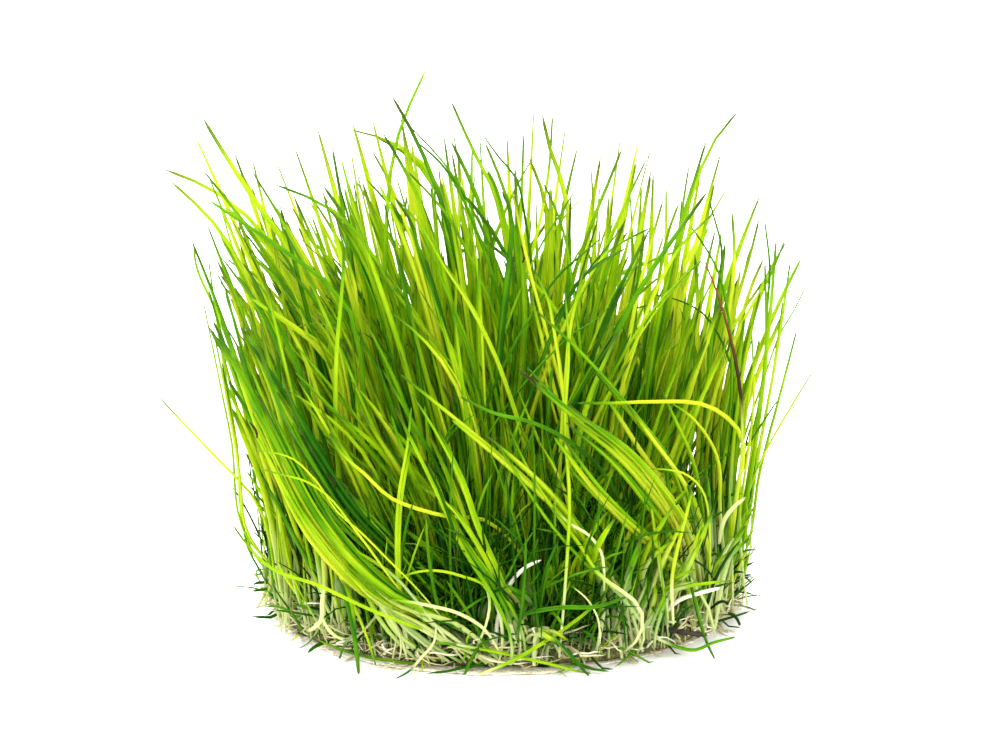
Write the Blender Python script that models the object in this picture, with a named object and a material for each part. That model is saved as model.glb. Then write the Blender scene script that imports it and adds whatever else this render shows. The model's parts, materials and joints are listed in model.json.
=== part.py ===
"""Dwarf hairgrass, the thread-leaved plant of aquarium lawns, as one round plug lifted from its cup.

A flat disc of matted roots carries about fifty tufts. Each tuft is a crown with up to seven thin leaves: long
ones that lean out over the rim, and short ones between them. The growth is tall at the back and left, and
short and untidy in a hollow at the front. White runners cross the mat from tuft to tuft, one leaf has died
back to brown, and a dark stub of old stem sticks out past the mat's front edge.

All numbers are millimetres and MM turns them to metres. +Z is up, -Y is the front, and the origin is the
middle of the mat's flat underside.
"""

import itertools
import math
import random
from collections import namedtuple

import bmesh
import bpy
import numpy as np
from mathutils import Matrix, Vector

MM = 0.001

# Driving dimensions
MAT_RADIUS = 32.0
MAT_THICKNESS = 3.2
MAT_SIDES = 36
CROWN_REACH = 29.0
CROWN_RADIUS = 1.7
CROWN_HEIGHT = 1.2
CROWN_SPACING_LEAST = 4.8
FREE_TUFT_PLACES = 62
LEAVES_ON_A_TUFT = 7
LEAF_HEIGHT = 60.0
LEAF_WIDTH = 1.25
LEAF_DEPTH_SHARE = 0.6
RIM_FLARE = 10.5
FRONT_SWEEP = 7.0
FRONT_SWEEP_END = 20.0
FRONT_DIP = 9.0
HOLLOW_DIP = 31.0
RIGHT_DIP = 8.0
RIM_DIP = 5.0
MAT_LUMPS = 0.35
EDGE_CLEARANCE = 1.0
TOUCH_GAP = 0.3
SEED = 11

# Clear space round a new leaf: above the ground, to its neighbours, and to the other leaves of its tuft
GROUND_GAP = 0.02
NEIGHBOUR_GAP = 0.35
OWN_GAP = 0.1

# How thick a leaf counts while its room is tested: at its foot and tip, and elsewhere as a share of its width
FOOT_RADIUS = 0.68
TIP_RADIUS = 0.05
BODY_SHARE = 0.54

# How often a leaf is tried, and how much further aside each try may move the points of one set by hand
LED_TRIES = 400
LED_EASE = 0.01
FREE_TRIES = 200

# How far a full-height leaf drifts sideways, by its crown's X: away from the middle, and most on the left
DRIFTS = ((-32, -1.5), (-21, -7.5), (-6, -6.0), (5, 0.0), (15, 4.0), (32, 0.0))

# Over which crowns the front's sweep and dip come in, by how far forward they stand
FRONT_BAND = (6, 30)

# The hollow in the front: how far forward it begins and is full depth, in the middle and at the right, how
# far right the second pair holds, and over which X it comes in at the left and fades out at the right rim
HOLLOW_BAND_MIDDLE = (9, 26)
HOLLOW_BAND_RIGHT = (1, 13)
HOLLOW_RIGHT_FROM = 14
HOLLOW_LEFT_EDGE = (-24, -8)
HOLLOW_RIGHT_EDGE = (25, 30)

# How much less a leaf flares over the rim, and how much more it strays, where the hollow is full depth
HOLLOW_FLARE_LOSS = 0.65
HOLLOW_STRAY_GAIN = 0.5

# How steeply the dip and the flare of the growth rise towards the rim
RIM_DIP_POWER = 3
RIM_FLARE_POWER = 1.4

# How a free leaf grows: how far it fans out from its crown, and how much of that a very short leaf has; the
# shares of its fan, its lean over the rim and its drift that it has at half its height; how far it strays
# there and at its tip; how its height and width vary; and how wide a very short leaf is
FAN_REACH = (2.2, 5.0)
SHORT_LEAF_FAN = 0.55
FAN_AT_MIDDLE = 0.62
LEAN_AT_MIDDLE = 0.5
DRIFT_AT_MIDDLE = 0.28
MIDDLE_STRAY = 0.8
TIP_STRAY = 2.2
HEIGHT_SPREAD = (0.88, 1.06)
WIDTH_SPREAD = (0.8, 1.15)
SHORT_LEAF_WIDTH = 0.75

# Where a leaf's rings sit along its length, and how wide it is there, as shares
LONG_STATIONS = (0.1, 0.27, 0.45, 0.63, 0.79, 0.92)
PLAIN_STATIONS = (0.13, 0.38, 0.63, 0.86)
FREE_STATIONS = (0.15, 0.48, 0.8)
TAPER = ((0.0, 0.7), (0.3, 1.0), (0.6, 0.85), (0.85, 0.55), (1.0, 0.2))

# The heights of a tuft's leaves as shares of the full height, tallest first
LEAF_SHARES = (1.0, 0.96, 0.91, 0.84, 0.74, 0.6, 0.42)
SPARE_SHARES = (0.9, 0.72, 0.55, 0.4)

# The mat's rings from the underside's edge, over the rim, in to the middle: shares of its radius and height
MAT_RINGS = ((0.975, 0.0), (1.0, 0.3), (0.98, 0.66), (0.9, 0.92), (0.7, 1.0), (0.38, 1.0))

Leaf = namedtuple("Leaf", "facet rings widths tip")
Tuft = namedtuple("Tuft", "name x y led")

# Tufts whose leaves stand out from the rest: the crown's place on the mat, and each leaf's width with the
# points that it passes through, tip last
LED_TUFTS = (
    Tuft("tuft_sweep_left", -3.0, -25.5, (
        (1.7, ((-8.3, -28.5, 7.6), (-13.7, -30.5, 10.2), (-19, -31.8, 14.5), (-25, -31.8, 22.5),
               (-32.6, -29, 38), (-35.5, -26.5, 45))),
        (0.9, ((-8, -31, 6.4), (-16.5, -33, 9.3), (-23.7, -33.5, 12.5), (-29.9, -32, 14.4),
               (-34.1, -29.5, 19))),
        (1.5, ((-8.5, -25.5, 10), (-15, -27, 15.4), (-20.5, -28, 21.2), (-27, -27.5, 31.7),
               (-31, -25.5, 41.8))),
    )),
    Tuft("tuft_sweep_right", 26.0, -14.0, (
        (2.0, ((24, -17, 13), (21.5, -21.5, 18.2), (17, -25, 25.3), (9, -27, 32.2), (2, -26, 38.2))),
        (1.3, ((24.5, -18.5, 9), (20, -23, 14.2), (15.5, -26, 18.8), (11.5, -27, 23.2), (6.5, -27, 29.8))),
        (1.1, ((25, -13.5, 17), (18, -17.5, 29), (10, -20, 39), (4, -21, 45))),
    )),
    Tuft("tuft_arch_right", 28.4, -6.0, (
        (0.9, ((30.4, -8, 17.5), (31.2, -10.5, 25.5), (29, -12.5, 29.8), (22.9, -16, 32.2), (14.7, -19, 32.9),
               (9.3, -20.5, 32.6))),
        (0.8, ((28.4, -8.3, 17), (28.2, -9.5, 23), (25.8, -11, 27.7), (21.5, -12.5, 31.2))),
        (0.8, ((26.4, -8.4, 13.5), (26, -10.4, 19.5), (24, -12.4, 25.4), (20.3, -14.3, 33.6))),
        (0.7, ((25, -6.3, 14.5), (22.4, -7.6, 19.5), (17.2, -9.4, 22.2))),
        (1.0, ((31, -5, 20), (32.7, -4.3, 34), (34.2, -3.8, 44))),
    )),
    Tuft("tuft_tall_left", -1.0, -8.0, (
        (1.5, ((-3.2, -6.8, 24.5), (-6, -6, 48), (-8.1, -6, 56.4), (-11.1, -6, 64.2), (-14.7, -6, 70.8))),
        (0.9, ((-4.5, -10, 34.5), (-9.7, -9.5, 53), (-12, -9, 60.4), (-15.7, -9, 66.4))),
        (0.9, ((0, -5, 30), (-1.8, -2, 51), (-7.1, 0, 64))),
        (0.9, ((1.5, -9.5, 29.5), (1.8, -8.5, 51.6), (-2.6, -7.5, 65.1))),
    )),
    Tuft("tuft_crossed_left", -16.0, -3.0, (
        (0.7, ((-15.2, -3, 40), (-15.4, -3, 57), (-14.2, -3, 63.3), (-9.6, -3, 74))),
        (0.8, ((-18.6, -3.6, 40), (-20.8, -4.6, 56.8), (-22, -5, 64))),
        (1.1, ((-14, -7, 31.6), (-14.9, -9.6, 50), (-20.1, -10.3, 55.2), (-29.9, -11, 59.7))),
    )),
    Tuft("tuft_shoulder_left", -20.0, -14.5, (
        (1.6, ((-18.5, -15.3, 26), (-18.8, -14.8, 41), (-22.2, -14.8, 46.8), (-29, -14.8, 52.1),
               (-38.2, -14.5, 58.4))),
        (1.1, ((-21.3, -12.6, 29.5), (-23.5, -12.2, 45.4), (-28.5, -12, 55.4), (-32.5, -11.8, 61.9))),
        (1.0, ((-23.4, -16.8, 21.5), (-28, -17.4, 37), (-31, -17.4, 44.2), (-34, -17, 48.8))),
    )),
    Tuft("tuft_shoulder_back", -22.5, 3.5, (
        (1.5, ((-23.5, 2, 30), (-27.3, 0.8, 48.5), (-30, 1.8, 53), (-33.5, 4, 56), (-40.2, 10, 65.5))),
        (1.0, ((-27, 0.4, 25), (-31.6, -1.2, 39.7), (-36.5, -1.2, 50.5), (-44.3, 0, 58.5))),
        (0.6, ((-24.6, 6.2, 34), (-32, 8, 51), (-39, 9, 55.5), (-46, 12, 58))),
    )),
    Tuft("tuft_rim_left", -27.5, -8.5, (
        (0.7, ((-30.5, -9.5, 14.6), (-34, -7.5, 18.9), (-39.4, -4, 23.2), (-46, 0, 29.2))),
        (1.1, ((-30.5, -11.2, 21.5), (-35.4, -11.6, 35.5), (-38.3, -10, 46))),
        (0.9, ((-31, -6.8, 24), (-36.8, -6.2, 42), (-40.5, -6, 51.7))),
    )),
    Tuft("tuft_tall_right", 18.5, 0.0, (
        (1.3, ((20.4, 0, 30), (23.4, -1, 48), (25.2, -2, 58), (27.5, -1.5, 63.4), (31.3, 0, 67.9))),
        (1.0, ((18.6, -3, 30), (21.6, -4.6, 47.8), (24, -5.2, 56.3), (26.7, -4.8, 64.8))),
    )),
    Tuft("tuft_slant_right", 8.0, -12.5, (
        (1.2, ((10, -13.4, 21.5), (12.2, -13, 33.8), (16.4, -12, 43.2), (20.3, -10.5, 49.5),
               (26.7, -8, 58.4))),
        (1.7, ((8.6, -10, 27.5), (12.3, -8.6, 38.1), (15.8, -7.6, 46.1), (19.3, -7, 53.2))),
    )),
    Tuft("tuft_spike_middle", 9.0, -3.0, (
        (1.4, ((8.2, -2.4, 25), (9.3, -3, 43), (11.4, -2.3, 50.3), (14.2, -1.6, 58.1), (16, -1, 63.2))),
        (0.8, ((10.8, -4.6, 34), (12.4, -5.2, 43.8), (16, -6, 54.2))),
    )),
    Tuft("tuft_fork_middle", 3.0, 1.5, (
        (1.0, ((5, 1.8, 30), (8.4, 1.4, 50.7), (7.8, 1.8, 56), (5.9, 2.4, 62.9), (5.1, 3, 67.1))),
        (1.0, ((1.5, 0, 30), (2.3, -2.2, 49.8), (2.6, -2.4, 58.9), (2.7, -2.5, 65.5))),
    )),
    Tuft("tuft_rim_right", 26.5, 3.5, (
        (1.1, ((27.6, 1.4, 25), (29.6, -0.6, 38), (30.8, 0.4, 47), (30.6, 2.4, 54.2))),
        (1.4, ((30.2, 2.8, 25), (33, 2.4, 40), (34.8, 2.8, 44.5), (37.8, 4, 49.8))),
        (0.8, ((31, 6, 22), (37.1, 6.8, 39.4), (40.3, 7.8, 46.8))),
        (0.9, ((27.6, 6.7, 28), (32.4, 8.2, 44), (34.6, 9.2, 52))),
    )),
    Tuft("tuft_front_right", 15.3, -24.8, (
        (1.1, ((13.8, -25.2, 10), (10.2, -25.9, 16.3), (4.6, -26.2, 22.8), (-1.6, -26.2, 28.3),
               (-13, -24.5, 37.4))),
        (0.8, ((17.2, -28, 7), (16.1, -29, 9.7), (12.4, -29.4, 12), (9, -29, 15.7), (5.5, -28.9, 19.7),
               (-1, -28.6, 29.7))),
    )),
    Tuft("tuft_front_middle", 2.6, -28.6, (
        (0.9, ((1.2, -31, 8), (-0.9, -31.4, 12.1), (-3.4, -31.4, 15.6), (-6.6, -31.1, 20.6),
               (-13, -29, 34.6))),
        (0.7, ((5, -31, 5.6), (8, -33.5, 3.6), (11, -36, 0.9))),
    )),
    Tuft("tuft_fallen_left", -19.5, -20.0, (
        (0.9, ((-20.6, -25.5, 10.5), (-20.2, -30, 10.8), (-18.8, -33.6, 7.2), (-18, -36, 0.9))),
        (1.0, ((-24.2, -22.2, 19), (-29.3, -23.6, 35), (-32.5, -22.8, 43))),
    )),
)

# Single threads on the mat: width and the points along each, near end first
RUNNERS = (
    ("runner_front", 1.0, ((-0.9, -29.9, 3.6), (-0.6, -30.4, 6.5), (0.2, -30.5, 9.6), (1.5, -30.5, 12.2),
                           (3.2, -30.5, 13.8), (5.0, -30.4, 14.6))),
    ("runner_right", 0.9, ((20.7, -21.4, 3.6), (21.3, -21.9, 5.6), (22.8, -22.4, 7.1), (25.5, -21.5, 7.8),
                           (28.3, -19.3, 7.9))),
    ("runner_back", 0.9, ((-9.5, 27.4, 4.0), (-6.6, 29.0, 5.7), (-2.5, 29.6, 6.1), (1.4, 28.9, 4.1))),
    ("runner_left", 0.9, ((-29.0, 2.6, 4.0), (-30.0, 5.6, 5.6), (-29.4, 9.2, 5.9), (-27.2, 12.4, 4.0))),
)
DEAD_LEAF = (0.8, ((28.6, -10.2, 3.4), (30.0, -11.5, 14), (31.2, -12.5, 24), (31, -12.8, 32),
                   (29.6, -12.2, 39.5), (27.4, -11, 46.5), (25.8, -10, 50.2)))
OLD_STEM = (0.9, ((20.5, -23.4, 3.6), (23.5, -25, 3.5), (26.3, -25.6, 3.3)))
THREAD_TAPER = (1.0, 0.45)

# Threads of root that escape from the mat's edge and lie on the ground: bearing in degrees and length
EDGE_ROOTS = ((12, 3), (47, 5), (86, 3), (118, 4), (161, 5), (204, 3), (229, 4), (248, 6), (262, 4),
              (286, 5), (306, 3), (338, 5))
ROOT_WIDTH = 0.8
ROOT_HEIGHT = 0.6
ROOT_STATIONS = ((0.06, 1.0), (0.35, 0.9), (0.7, 0.75), (1.0, 0.4))

LEAF_DEEP = (0.05, 0.20, 0.008)
LEAF_YOUNG = (0.34, 0.46, 0.012)
ROOT_CREAM = (0.52, 0.44, 0.27)
RUNNER_WHITE = (0.80, 0.78, 0.62)
DEAD_BROWN = (0.16, 0.045, 0.016)
STEM_BROWN = (0.045, 0.026, 0.014)


def smooth_points(points, stations):
    """Points at the given shares of the length of a smooth curve through points set by hand."""
    line = np.array(points, float)
    ends = np.vstack([2 * line[0] - line[1], line, 2 * line[-1] - line[-2]])
    fine = []
    for a, b, c, d in zip(ends, ends[1:], ends[2:], ends[3:]):
        for t in np.linspace(0, 1, 12, endpoint=False):
            bend = (2 * a - 5 * b + 4 * c - d) * t**2 + (3 * b - a - 3 * c + d) * t**3
            fine.append(0.5 * (2 * b + (c - a) * t + bend))
    fine = np.array([*fine, line[-1]])
    run = np.concatenate([[0], np.cumsum(np.linalg.norm(np.diff(fine, axis=0), axis=1))])
    return np.column_stack([np.interp(stations, run / run[-1], fine[:, i]) for i in range(3)])


def segment_gaps(a0, a1, b0, b1):
    """The shortest distance from each straight piece a0-a1 to each straight piece b0-b1."""
    u, v = (a1 - a0)[:, None], (b1 - b0)[None]
    w = a0[:, None] - b0[None]
    uu, uv, vv = (u * u).sum(-1), (u * v).sum(-1), (v * v).sum(-1)
    uw, vw = (u * w).sum(-1), (v * w).sum(-1)
    cross = np.maximum(uu * vv - uv * uv, 1e-9)
    s = np.clip((uv * vw - vv * uw) / cross, 0, 1)
    t = np.clip((uv * s + vw) / np.maximum(vv, 1e-9), 0, 1)
    s = np.clip((uv * t - uw) / np.maximum(uu, 1e-9), 0, 1)
    return np.linalg.norm(w + s[..., None] * u - t[..., None] * v, axis=-1)


def smoothstep(low, high, value):
    share = min(max((value - low) / (high - low), 0), 1)
    return share * share * (3 - 2 * share)


def direction(bearing):
    """The level unit vector at a bearing."""
    return np.array([math.cos(bearing), math.sin(bearing), 0.0])


def edge_radius(bearing):
    """The mat's outline, a circle that its roots have left a little ragged."""
    return MAT_RADIUS - 0.3 + 0.45 * math.sin(3 * bearing + 1) + 0.3 * math.sin(7 * bearing + 2)


def mat_top(radius):
    """A height that clears the mat's upper side, which rounds down over its last few millimetres."""
    return MAT_THICKNESS * (1 - 0.3 * smoothstep(0.8, 1.05, radius / MAT_RADIUS))


def crown_base(x, y):
    return np.array([x, y, mat_top(math.hypot(x, y)) + TOUCH_GAP])


class Growth:
    """Everything placed so far, as straight pieces with a thickness, so that nothing new grows through it."""

    def __init__(self):
        self.starts, self.ends = np.empty((0, 3)), np.empty((0, 3))
        self.radii, self.owners = np.empty(0), []

    def add(self, owner, line, radii):
        self.starts = np.vstack([self.starts, line[:-1]])
        self.ends = np.vstack([self.ends, line[1:]])
        self.radii = np.concatenate([self.radii, np.maximum(radii[:-1], radii[1:])])
        self.owners += [owner] * (len(line) - 1)

    def add_crown(self, tuft):
        base = crown_base(tuft.x, tuft.y)
        self.add(tuft.name, np.array([base, base + (0, 0, CROWN_HEIGHT)]), np.full(2, CROWN_RADIUS))

    def gaps(self, line, radii):
        """The clear space between each stretch of a line and each piece that is placed."""
        thick = np.maximum(radii[:-1], radii[1:])
        between = segment_gaps(line[:-1], line[1:], self.starts, self.ends)
        return between - thick[:, None] - self.radii[None]

    def leaves_room(self, owner, line, radii):
        """True if a leaf clears the ground, the mat, the other pieces and its own tuft's other leaves."""
        for start, end, low in zip(line[:-1], line[1:], radii[1:]):
            for point in np.linspace(start, end, 6)[1:]:
                outward = math.hypot(point[0], point[1])
                floor = mat_top(outward) + TOUCH_GAP if outward < MAT_RADIUS + EDGE_CLEARANCE + low else 0
                if point[2] < floor + low + GROUND_GAP:
                    return False
        gaps = self.gaps(line, radii)
        own = np.array([name == owner for name in self.owners])
        crowns = self.radii == CROWN_RADIUS
        # Leaves of one tuft meet in their crown, so their lowest stretches may touch it and each other.
        crowded = (gaps[:, ~own] < NEIGHBOUR_GAP).any()
        return not crowded and not (gaps[1:][:, own & ~crowns] < OWN_GAP).any()


def leaf_along(facet, start, points, width, stations):
    """A leaf as rings of centre points with widths, from its start on the crown to its tip."""
    rings = smooth_points([start, *points], stations)
    widths = [width * np.interp(s, *zip(*TAPER)) for s in stations]
    return Leaf(facet, rings, widths, np.array(points[-1], float))


def place_leaf(growth, tuft, leaf, start):
    """Adds the leaf to the growth if there is room for it, and says if there was."""
    line = np.vstack([start, leaf.rings, leaf.tip])
    radii = np.array([FOOT_RADIUS, *(BODY_SHARE * w for w in leaf.widths), TIP_RADIUS])
    if not growth.leaves_room(tuft.name, line, radii):
        return False
    growth.add(tuft.name, line, radii)
    return True


def leaf_start(tuft, bearing):
    return crown_base(tuft.x, tuft.y) + (0, 0, CROWN_HEIGHT) + 0.5 * CROWN_RADIUS * direction(bearing)


def match_facets(tuft):
    """The crown's turn and each led leaf's facet, chosen so that every leaf sets off towards its own side."""
    step = math.tau / LEAVES_ON_A_TUFT
    headings = [math.atan2(points[0][1] - tuft.y, points[0][0] - tuft.x) for _, points in tuft.led]
    choices = itertools.product(
        np.linspace(0, step, 5, endpoint=False),
        itertools.permutations(range(LEAVES_ON_A_TUFT), len(headings)),
    )

    def misfit(choice):
        turn, facets = choice
        turned = [math.remainder(turn + (f + 0.5) * step - h, math.tau) for f, h in zip(facets, headings)]
        return sum(angle**2 for angle in turned)

    return min(choices, key=misfit)


def led_leaf(growth, chance, tuft, facet, bearing, width, points):
    """A leaf along points set by hand, eased aside a little at a time until it passes clear of the others."""
    start = leaf_start(tuft, bearing)
    stations = LONG_STATIONS if len(points) > 4 else PLAIN_STATIONS
    for attempt in range(LED_TRIES):
        reach = LED_EASE * attempt
        ease = np.array([[chance.uniform(-reach, reach) for _ in range(3)] for _ in points])
        eased = np.array(points, float) + ease * (0.5, 1.0, 0.4)
        leaf = leaf_along(facet, start, eased, width, stations)
        if place_leaf(growth, tuft, leaf, start):
            return leaf
    raise ValueError(f"no room for a leaf of {tuft.name} that ends at {points[-1]}")


def hollow_depth(x, y):
    """How deep in the front hollow a crown stands, from 0 outside it to 1."""
    begins, full = (
        np.interp(x, (0, HOLLOW_RIGHT_FROM), ends) for ends in zip(HOLLOW_BAND_MIDDLE, HOLLOW_BAND_RIGHT)
    )
    depth = smoothstep(begins, full, -y)
    return depth * smoothstep(*HOLLOW_LEFT_EDGE, x) * (1 - smoothstep(*HOLLOW_RIGHT_EDGE, x))


def free_leaf(growth, chance, tuft, facet, bearing, share):
    """A leaf that leans as its part of the plug does and fans out from its crown. A few find no room."""
    outward = math.hypot(tuft.x, tuft.y)
    from_middle = outward / MAT_RADIUS
    from_left = smoothstep(0, MAT_RADIUS, tuft.x)
    frontness = smoothstep(*FRONT_BAND, -tuft.y)
    hollow = hollow_depth(tuft.x, tuft.y)
    dips = FRONT_DIP * frontness + HOLLOW_DIP * hollow + RIGHT_DIP * from_left
    full_height = LEAF_HEIGHT - dips - RIM_DIP * from_middle**RIM_DIP_POWER
    flare = RIM_FLARE * from_middle**RIM_FLARE_POWER * (1 - HOLLOW_FLARE_LOSS * hollow)
    away = np.array([tuft.x, tuft.y, 0.0]) / max(outward, 1) * flare
    sweep = FRONT_SWEEP * frontness * (1 - smoothstep(0, FRONT_SWEEP_END, tuft.x))
    sideways = np.interp(tuft.x, *zip(*DRIFTS)) - sweep
    stray = TIP_STRAY * (1 + HOLLOW_STRAY_GAIN * hollow)
    start = leaf_start(tuft, bearing)
    for _ in range(FREE_TRIES):
        height = full_height * share * chance.uniform(*HEIGHT_SPREAD)
        fan = direction(bearing) * chance.uniform(*FAN_REACH)
        fan *= SHORT_LEAF_FAN + (1 - SHORT_LEAF_FAN) * share
        lean = away * share
        drift = np.array([sideways * share, 0.0, 0.0])
        tip = start + fan + lean + drift + (chance.gauss(0, stray), chance.gauss(0, stray), height)
        middle = start + FAN_AT_MIDDLE * fan + LEAN_AT_MIDDLE * lean + DRIFT_AT_MIDDLE * drift
        middle = middle + (chance.gauss(0, MIDDLE_STRAY), chance.gauss(0, MIDDLE_STRAY), 0.5 * height)
        width = LEAF_WIDTH * chance.uniform(*WIDTH_SPREAD)
        width *= SHORT_LEAF_WIDTH + (1 - SHORT_LEAF_WIDTH) * share
        leaf = leaf_along(facet, start, (middle, tip), width, FREE_STATIONS)
        if place_leaf(growth, tuft, leaf, start):
            return leaf
    return None


def free_tufts(growth):
    """Tufts on a sunflower spiral, which spreads them evenly, but not where a led tuft or a thread is."""
    crowns = [(t.x, t.y) for t in LED_TUFTS]
    for i in range(FREE_TUFT_PLACES):
        radius = CROWN_REACH * math.sqrt((i + 0.5) / FREE_TUFT_PLACES)
        x, y = radius * math.cos(i * math.radians(137.508)), radius * math.sin(i * math.radians(137.508))
        base = crown_base(x, y)
        post = np.array([base, base + (0, 0, CROWN_HEIGHT)])
        clear = (growth.gaps(post, np.full(2, CROWN_RADIUS)) > TOUCH_GAP + 0.1).all()
        if clear and min(math.hypot(x - a, y - b) for a, b in crowns) >= CROWN_SPACING_LEAST:
            crowns.append((x, y))
            yield Tuft(f"tuft_{len(crowns) - len(LED_TUFTS):02d}", x, y, ())


def grow(chance):
    """Every tuft with its leaves: the led ones find their places first, and the others fill in round them."""
    growth = Growth()
    for name, width, points in (*RUNNERS, ("dead_leaf", *DEAD_LEAF), ("old_stem", *OLD_STEM)):
        line = smooth_points(points, np.linspace(0, 1, 10))
        growth.add(name, line, np.full(len(line), 0.5 * width))
    for bearing, length in EDGE_ROOTS:
        out = direction(math.radians(bearing))
        line = np.array([MAT_RADIUS * out, (MAT_RADIUS + length) * out])
        growth.add("root_mat", line, np.full(2, 0.5 * ROOT_WIDTH))
    for tuft in LED_TUFTS:
        growth.add_crown(tuft)
    tufts = [*LED_TUFTS, *free_tufts(growth)]
    for tuft in tufts[len(LED_TUFTS):]:
        growth.add_crown(tuft)

    step = math.tau / LEAVES_ON_A_TUFT
    turns, leaves = {}, {tuft.name: [] for tuft in tufts}
    for tuft in tufts:
        turn, facets = match_facets(tuft) if tuft.led else (chance.uniform(0, step), ())
        turns[tuft.name] = turn
        for facet, (width, points) in zip(facets, tuft.led):
            bearing = turn + (facet + 0.5) * step
            leaves[tuft.name].append(led_leaf(growth, chance, tuft, facet, bearing, width, points))
    for tuft in tufts:
        taken = [leaf.facet for leaf in leaves[tuft.name]]
        spare = [facet for facet in range(LEAVES_ON_A_TUFT) if facet not in taken]
        chance.shuffle(spare)
        for facet, share in zip(spare, SPARE_SHARES if tuft.led else LEAF_SHARES):
            bearing = turns[tuft.name] + (facet + 0.5) * step
            leaf = free_leaf(growth, chance, tuft, facet, bearing, share)
            if leaf is not None:
                leaves[tuft.name].append(leaf)
    return [(tuft, turns[tuft.name], leaves[tuft.name]) for tuft in tufts]


def draw_out(bm, face, sections):
    """Extrudes a face through each section, a list of its corners' new places in the face's own order."""
    for section in sections:
        face = bmesh.ops.extrude_discrete_faces(bm, faces=[face])["faces"][0]
        for vert, point in zip(face.verts, section):
            vert.co = MM * np.array(point)
    return face


def leaf_sections(leaf, start, outer):
    """Each ring's three corners, the keel on the tuft's inner side and then the two edges."""
    line = np.vstack([start, leaf.rings, leaf.tip])
    along = np.gradient(line, axis=0)
    along /= np.linalg.norm(along, axis=1)[:, None]
    side = np.cross((0, 0, 1), outer)
    for centre, ahead, width in zip(leaf.rings, along[1:-1], leaf.widths):
        side = side - ahead * side.dot(ahead)
        side /= np.linalg.norm(side)
        outwards = np.cross(side, ahead) * LEAF_DEPTH_SHARE * width / 3
        edge = side * width / 2
        yield centre - 2 * outwards, centre + outwards - edge, centre + outwards + edge


def grow_leaf(bm, face, hub, tuft, bearing, leaf):
    """Draws one facet of a crown out into a leaf."""
    inner = min(range(3), key=lambda i: (face.verts[i].co - hub).length)
    sections = []
    for corners in leaf_sections(leaf, leaf_start(tuft, bearing), direction(bearing)):
        sections.append([corners[(i - inner) % 3] for i in range(3)])
    face = draw_out(bm, face, [*sections, [leaf.tip] * 3])
    bmesh.ops.pointmerge(bm, verts=face.verts[:], merge_co=MM * leaf.tip)


def finish_object(name, bm, material, origin, parent):
    """Makes the object, with its own origin at a point in millimetres and its long edges sharp."""
    bmesh.ops.translate(bm, verts=bm.verts[:], vec=-MM * np.array(origin))
    mesh = bpy.data.meshes.new(name)
    bm.to_mesh(mesh)
    bm.free()
    mesh.shade_smooth()
    mesh.set_sharp_from_angle(angle=math.radians(42))
    mesh.materials.append(material)
    obj = bpy.data.objects.new(name, mesh)
    bpy.context.scene.collection.objects.link(obj)
    obj.location = MM * np.array(origin)
    obj.parent = parent
    return obj


def plant_material(name, colour, roughness):
    material = bpy.data.materials.new(name)
    material.use_nodes = True
    shader = material.node_tree.nodes["Principled BSDF"]
    shader.inputs["Base Color"].default_value = (*colour, 1)
    shader.inputs["Roughness"].default_value = roughness
    shader.inputs["Metallic"].default_value = 0
    material.diffuse_color = (*colour, 1)
    return material


def leaf_material(name, chance):
    """A green between deep grass green and the yellower green of new growth."""
    young = chance.random()
    colour = [deep + young * (new - deep) for deep, new in zip(LEAF_DEEP, LEAF_YOUNG)]
    return plant_material(name, colour, 0.42)


def build_tuft(chance, tuft, turn, leaves, parent):
    """One tuft: a low crown with a facet on top for each leaf, and every leaf drawn out of its own facet."""
    step = math.tau / LEAVES_ON_A_TUFT
    base = crown_base(tuft.x, tuft.y)
    bm = bmesh.new()
    # The cone tool puts its first corner at 90 degrees, so it is turned back by that much.
    bmesh.ops.create_cone(
        bm, cap_ends=True, cap_tris=True, segments=LEAVES_ON_A_TUFT, radius1=MM * CROWN_RADIUS,
        radius2=MM * 0.9 * CROWN_RADIUS, depth=MM * CROWN_HEIGHT,
        matrix=Matrix.Translation(MM * (base + (0, 0, 0.5 * CROWN_HEIGHT)))
        @ Matrix.Rotation(turn - math.pi / 2, 4, "Z"),
    )
    bm.normal_update()
    hub = MM * (base + (0, 0, CROWN_HEIGHT))
    facets = {}
    for face in [f for f in bm.faces if f.normal.z > 0.9]:
        from_hub = np.array(face.calc_center_median()) - hub
        facets[round((math.atan2(from_hub[1], from_hub[0]) - turn) / step - 0.5) % LEAVES_ON_A_TUFT] = face
    for leaf in leaves:
        grow_leaf(bm, facets[leaf.facet], Vector(hub), tuft, turn + (leaf.facet + 0.5) * step, leaf)
    return finish_object(tuft.name, bm, leaf_material(tuft.name, chance), base, parent)


def draw_root(bm, chance, face, length):
    """A thread of root that leaves the mat's rim and lies on the ground, bending a little as it thins."""
    middle = np.array(face.calc_center_median()) / MM
    heading = math.atan2(middle[1], middle[0])
    corners = [np.array(vert.co) / MM - middle for vert in face.verts]
    across = direction(heading + math.pi / 2)
    places = [(math.copysign(0.5, corner.dot(across)), corner[2] > 0) for corner in corners]
    point, gone = middle * (1, 1, 0), 0
    sections = []
    for share, taper in ROOT_STATIONS:
        point = point + direction(heading) * length * (share - gone)
        gone = share
        heading += chance.uniform(-0.5, 0.5)
        side = direction(heading + math.pi / 2) * ROOT_WIDTH * taper
        rise = (0, 0, ROOT_HEIGHT * taper)
        sections.append([point + share * side + np.multiply(rise, high) for share, high in places])
    draw_out(bm, face, sections)


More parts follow.
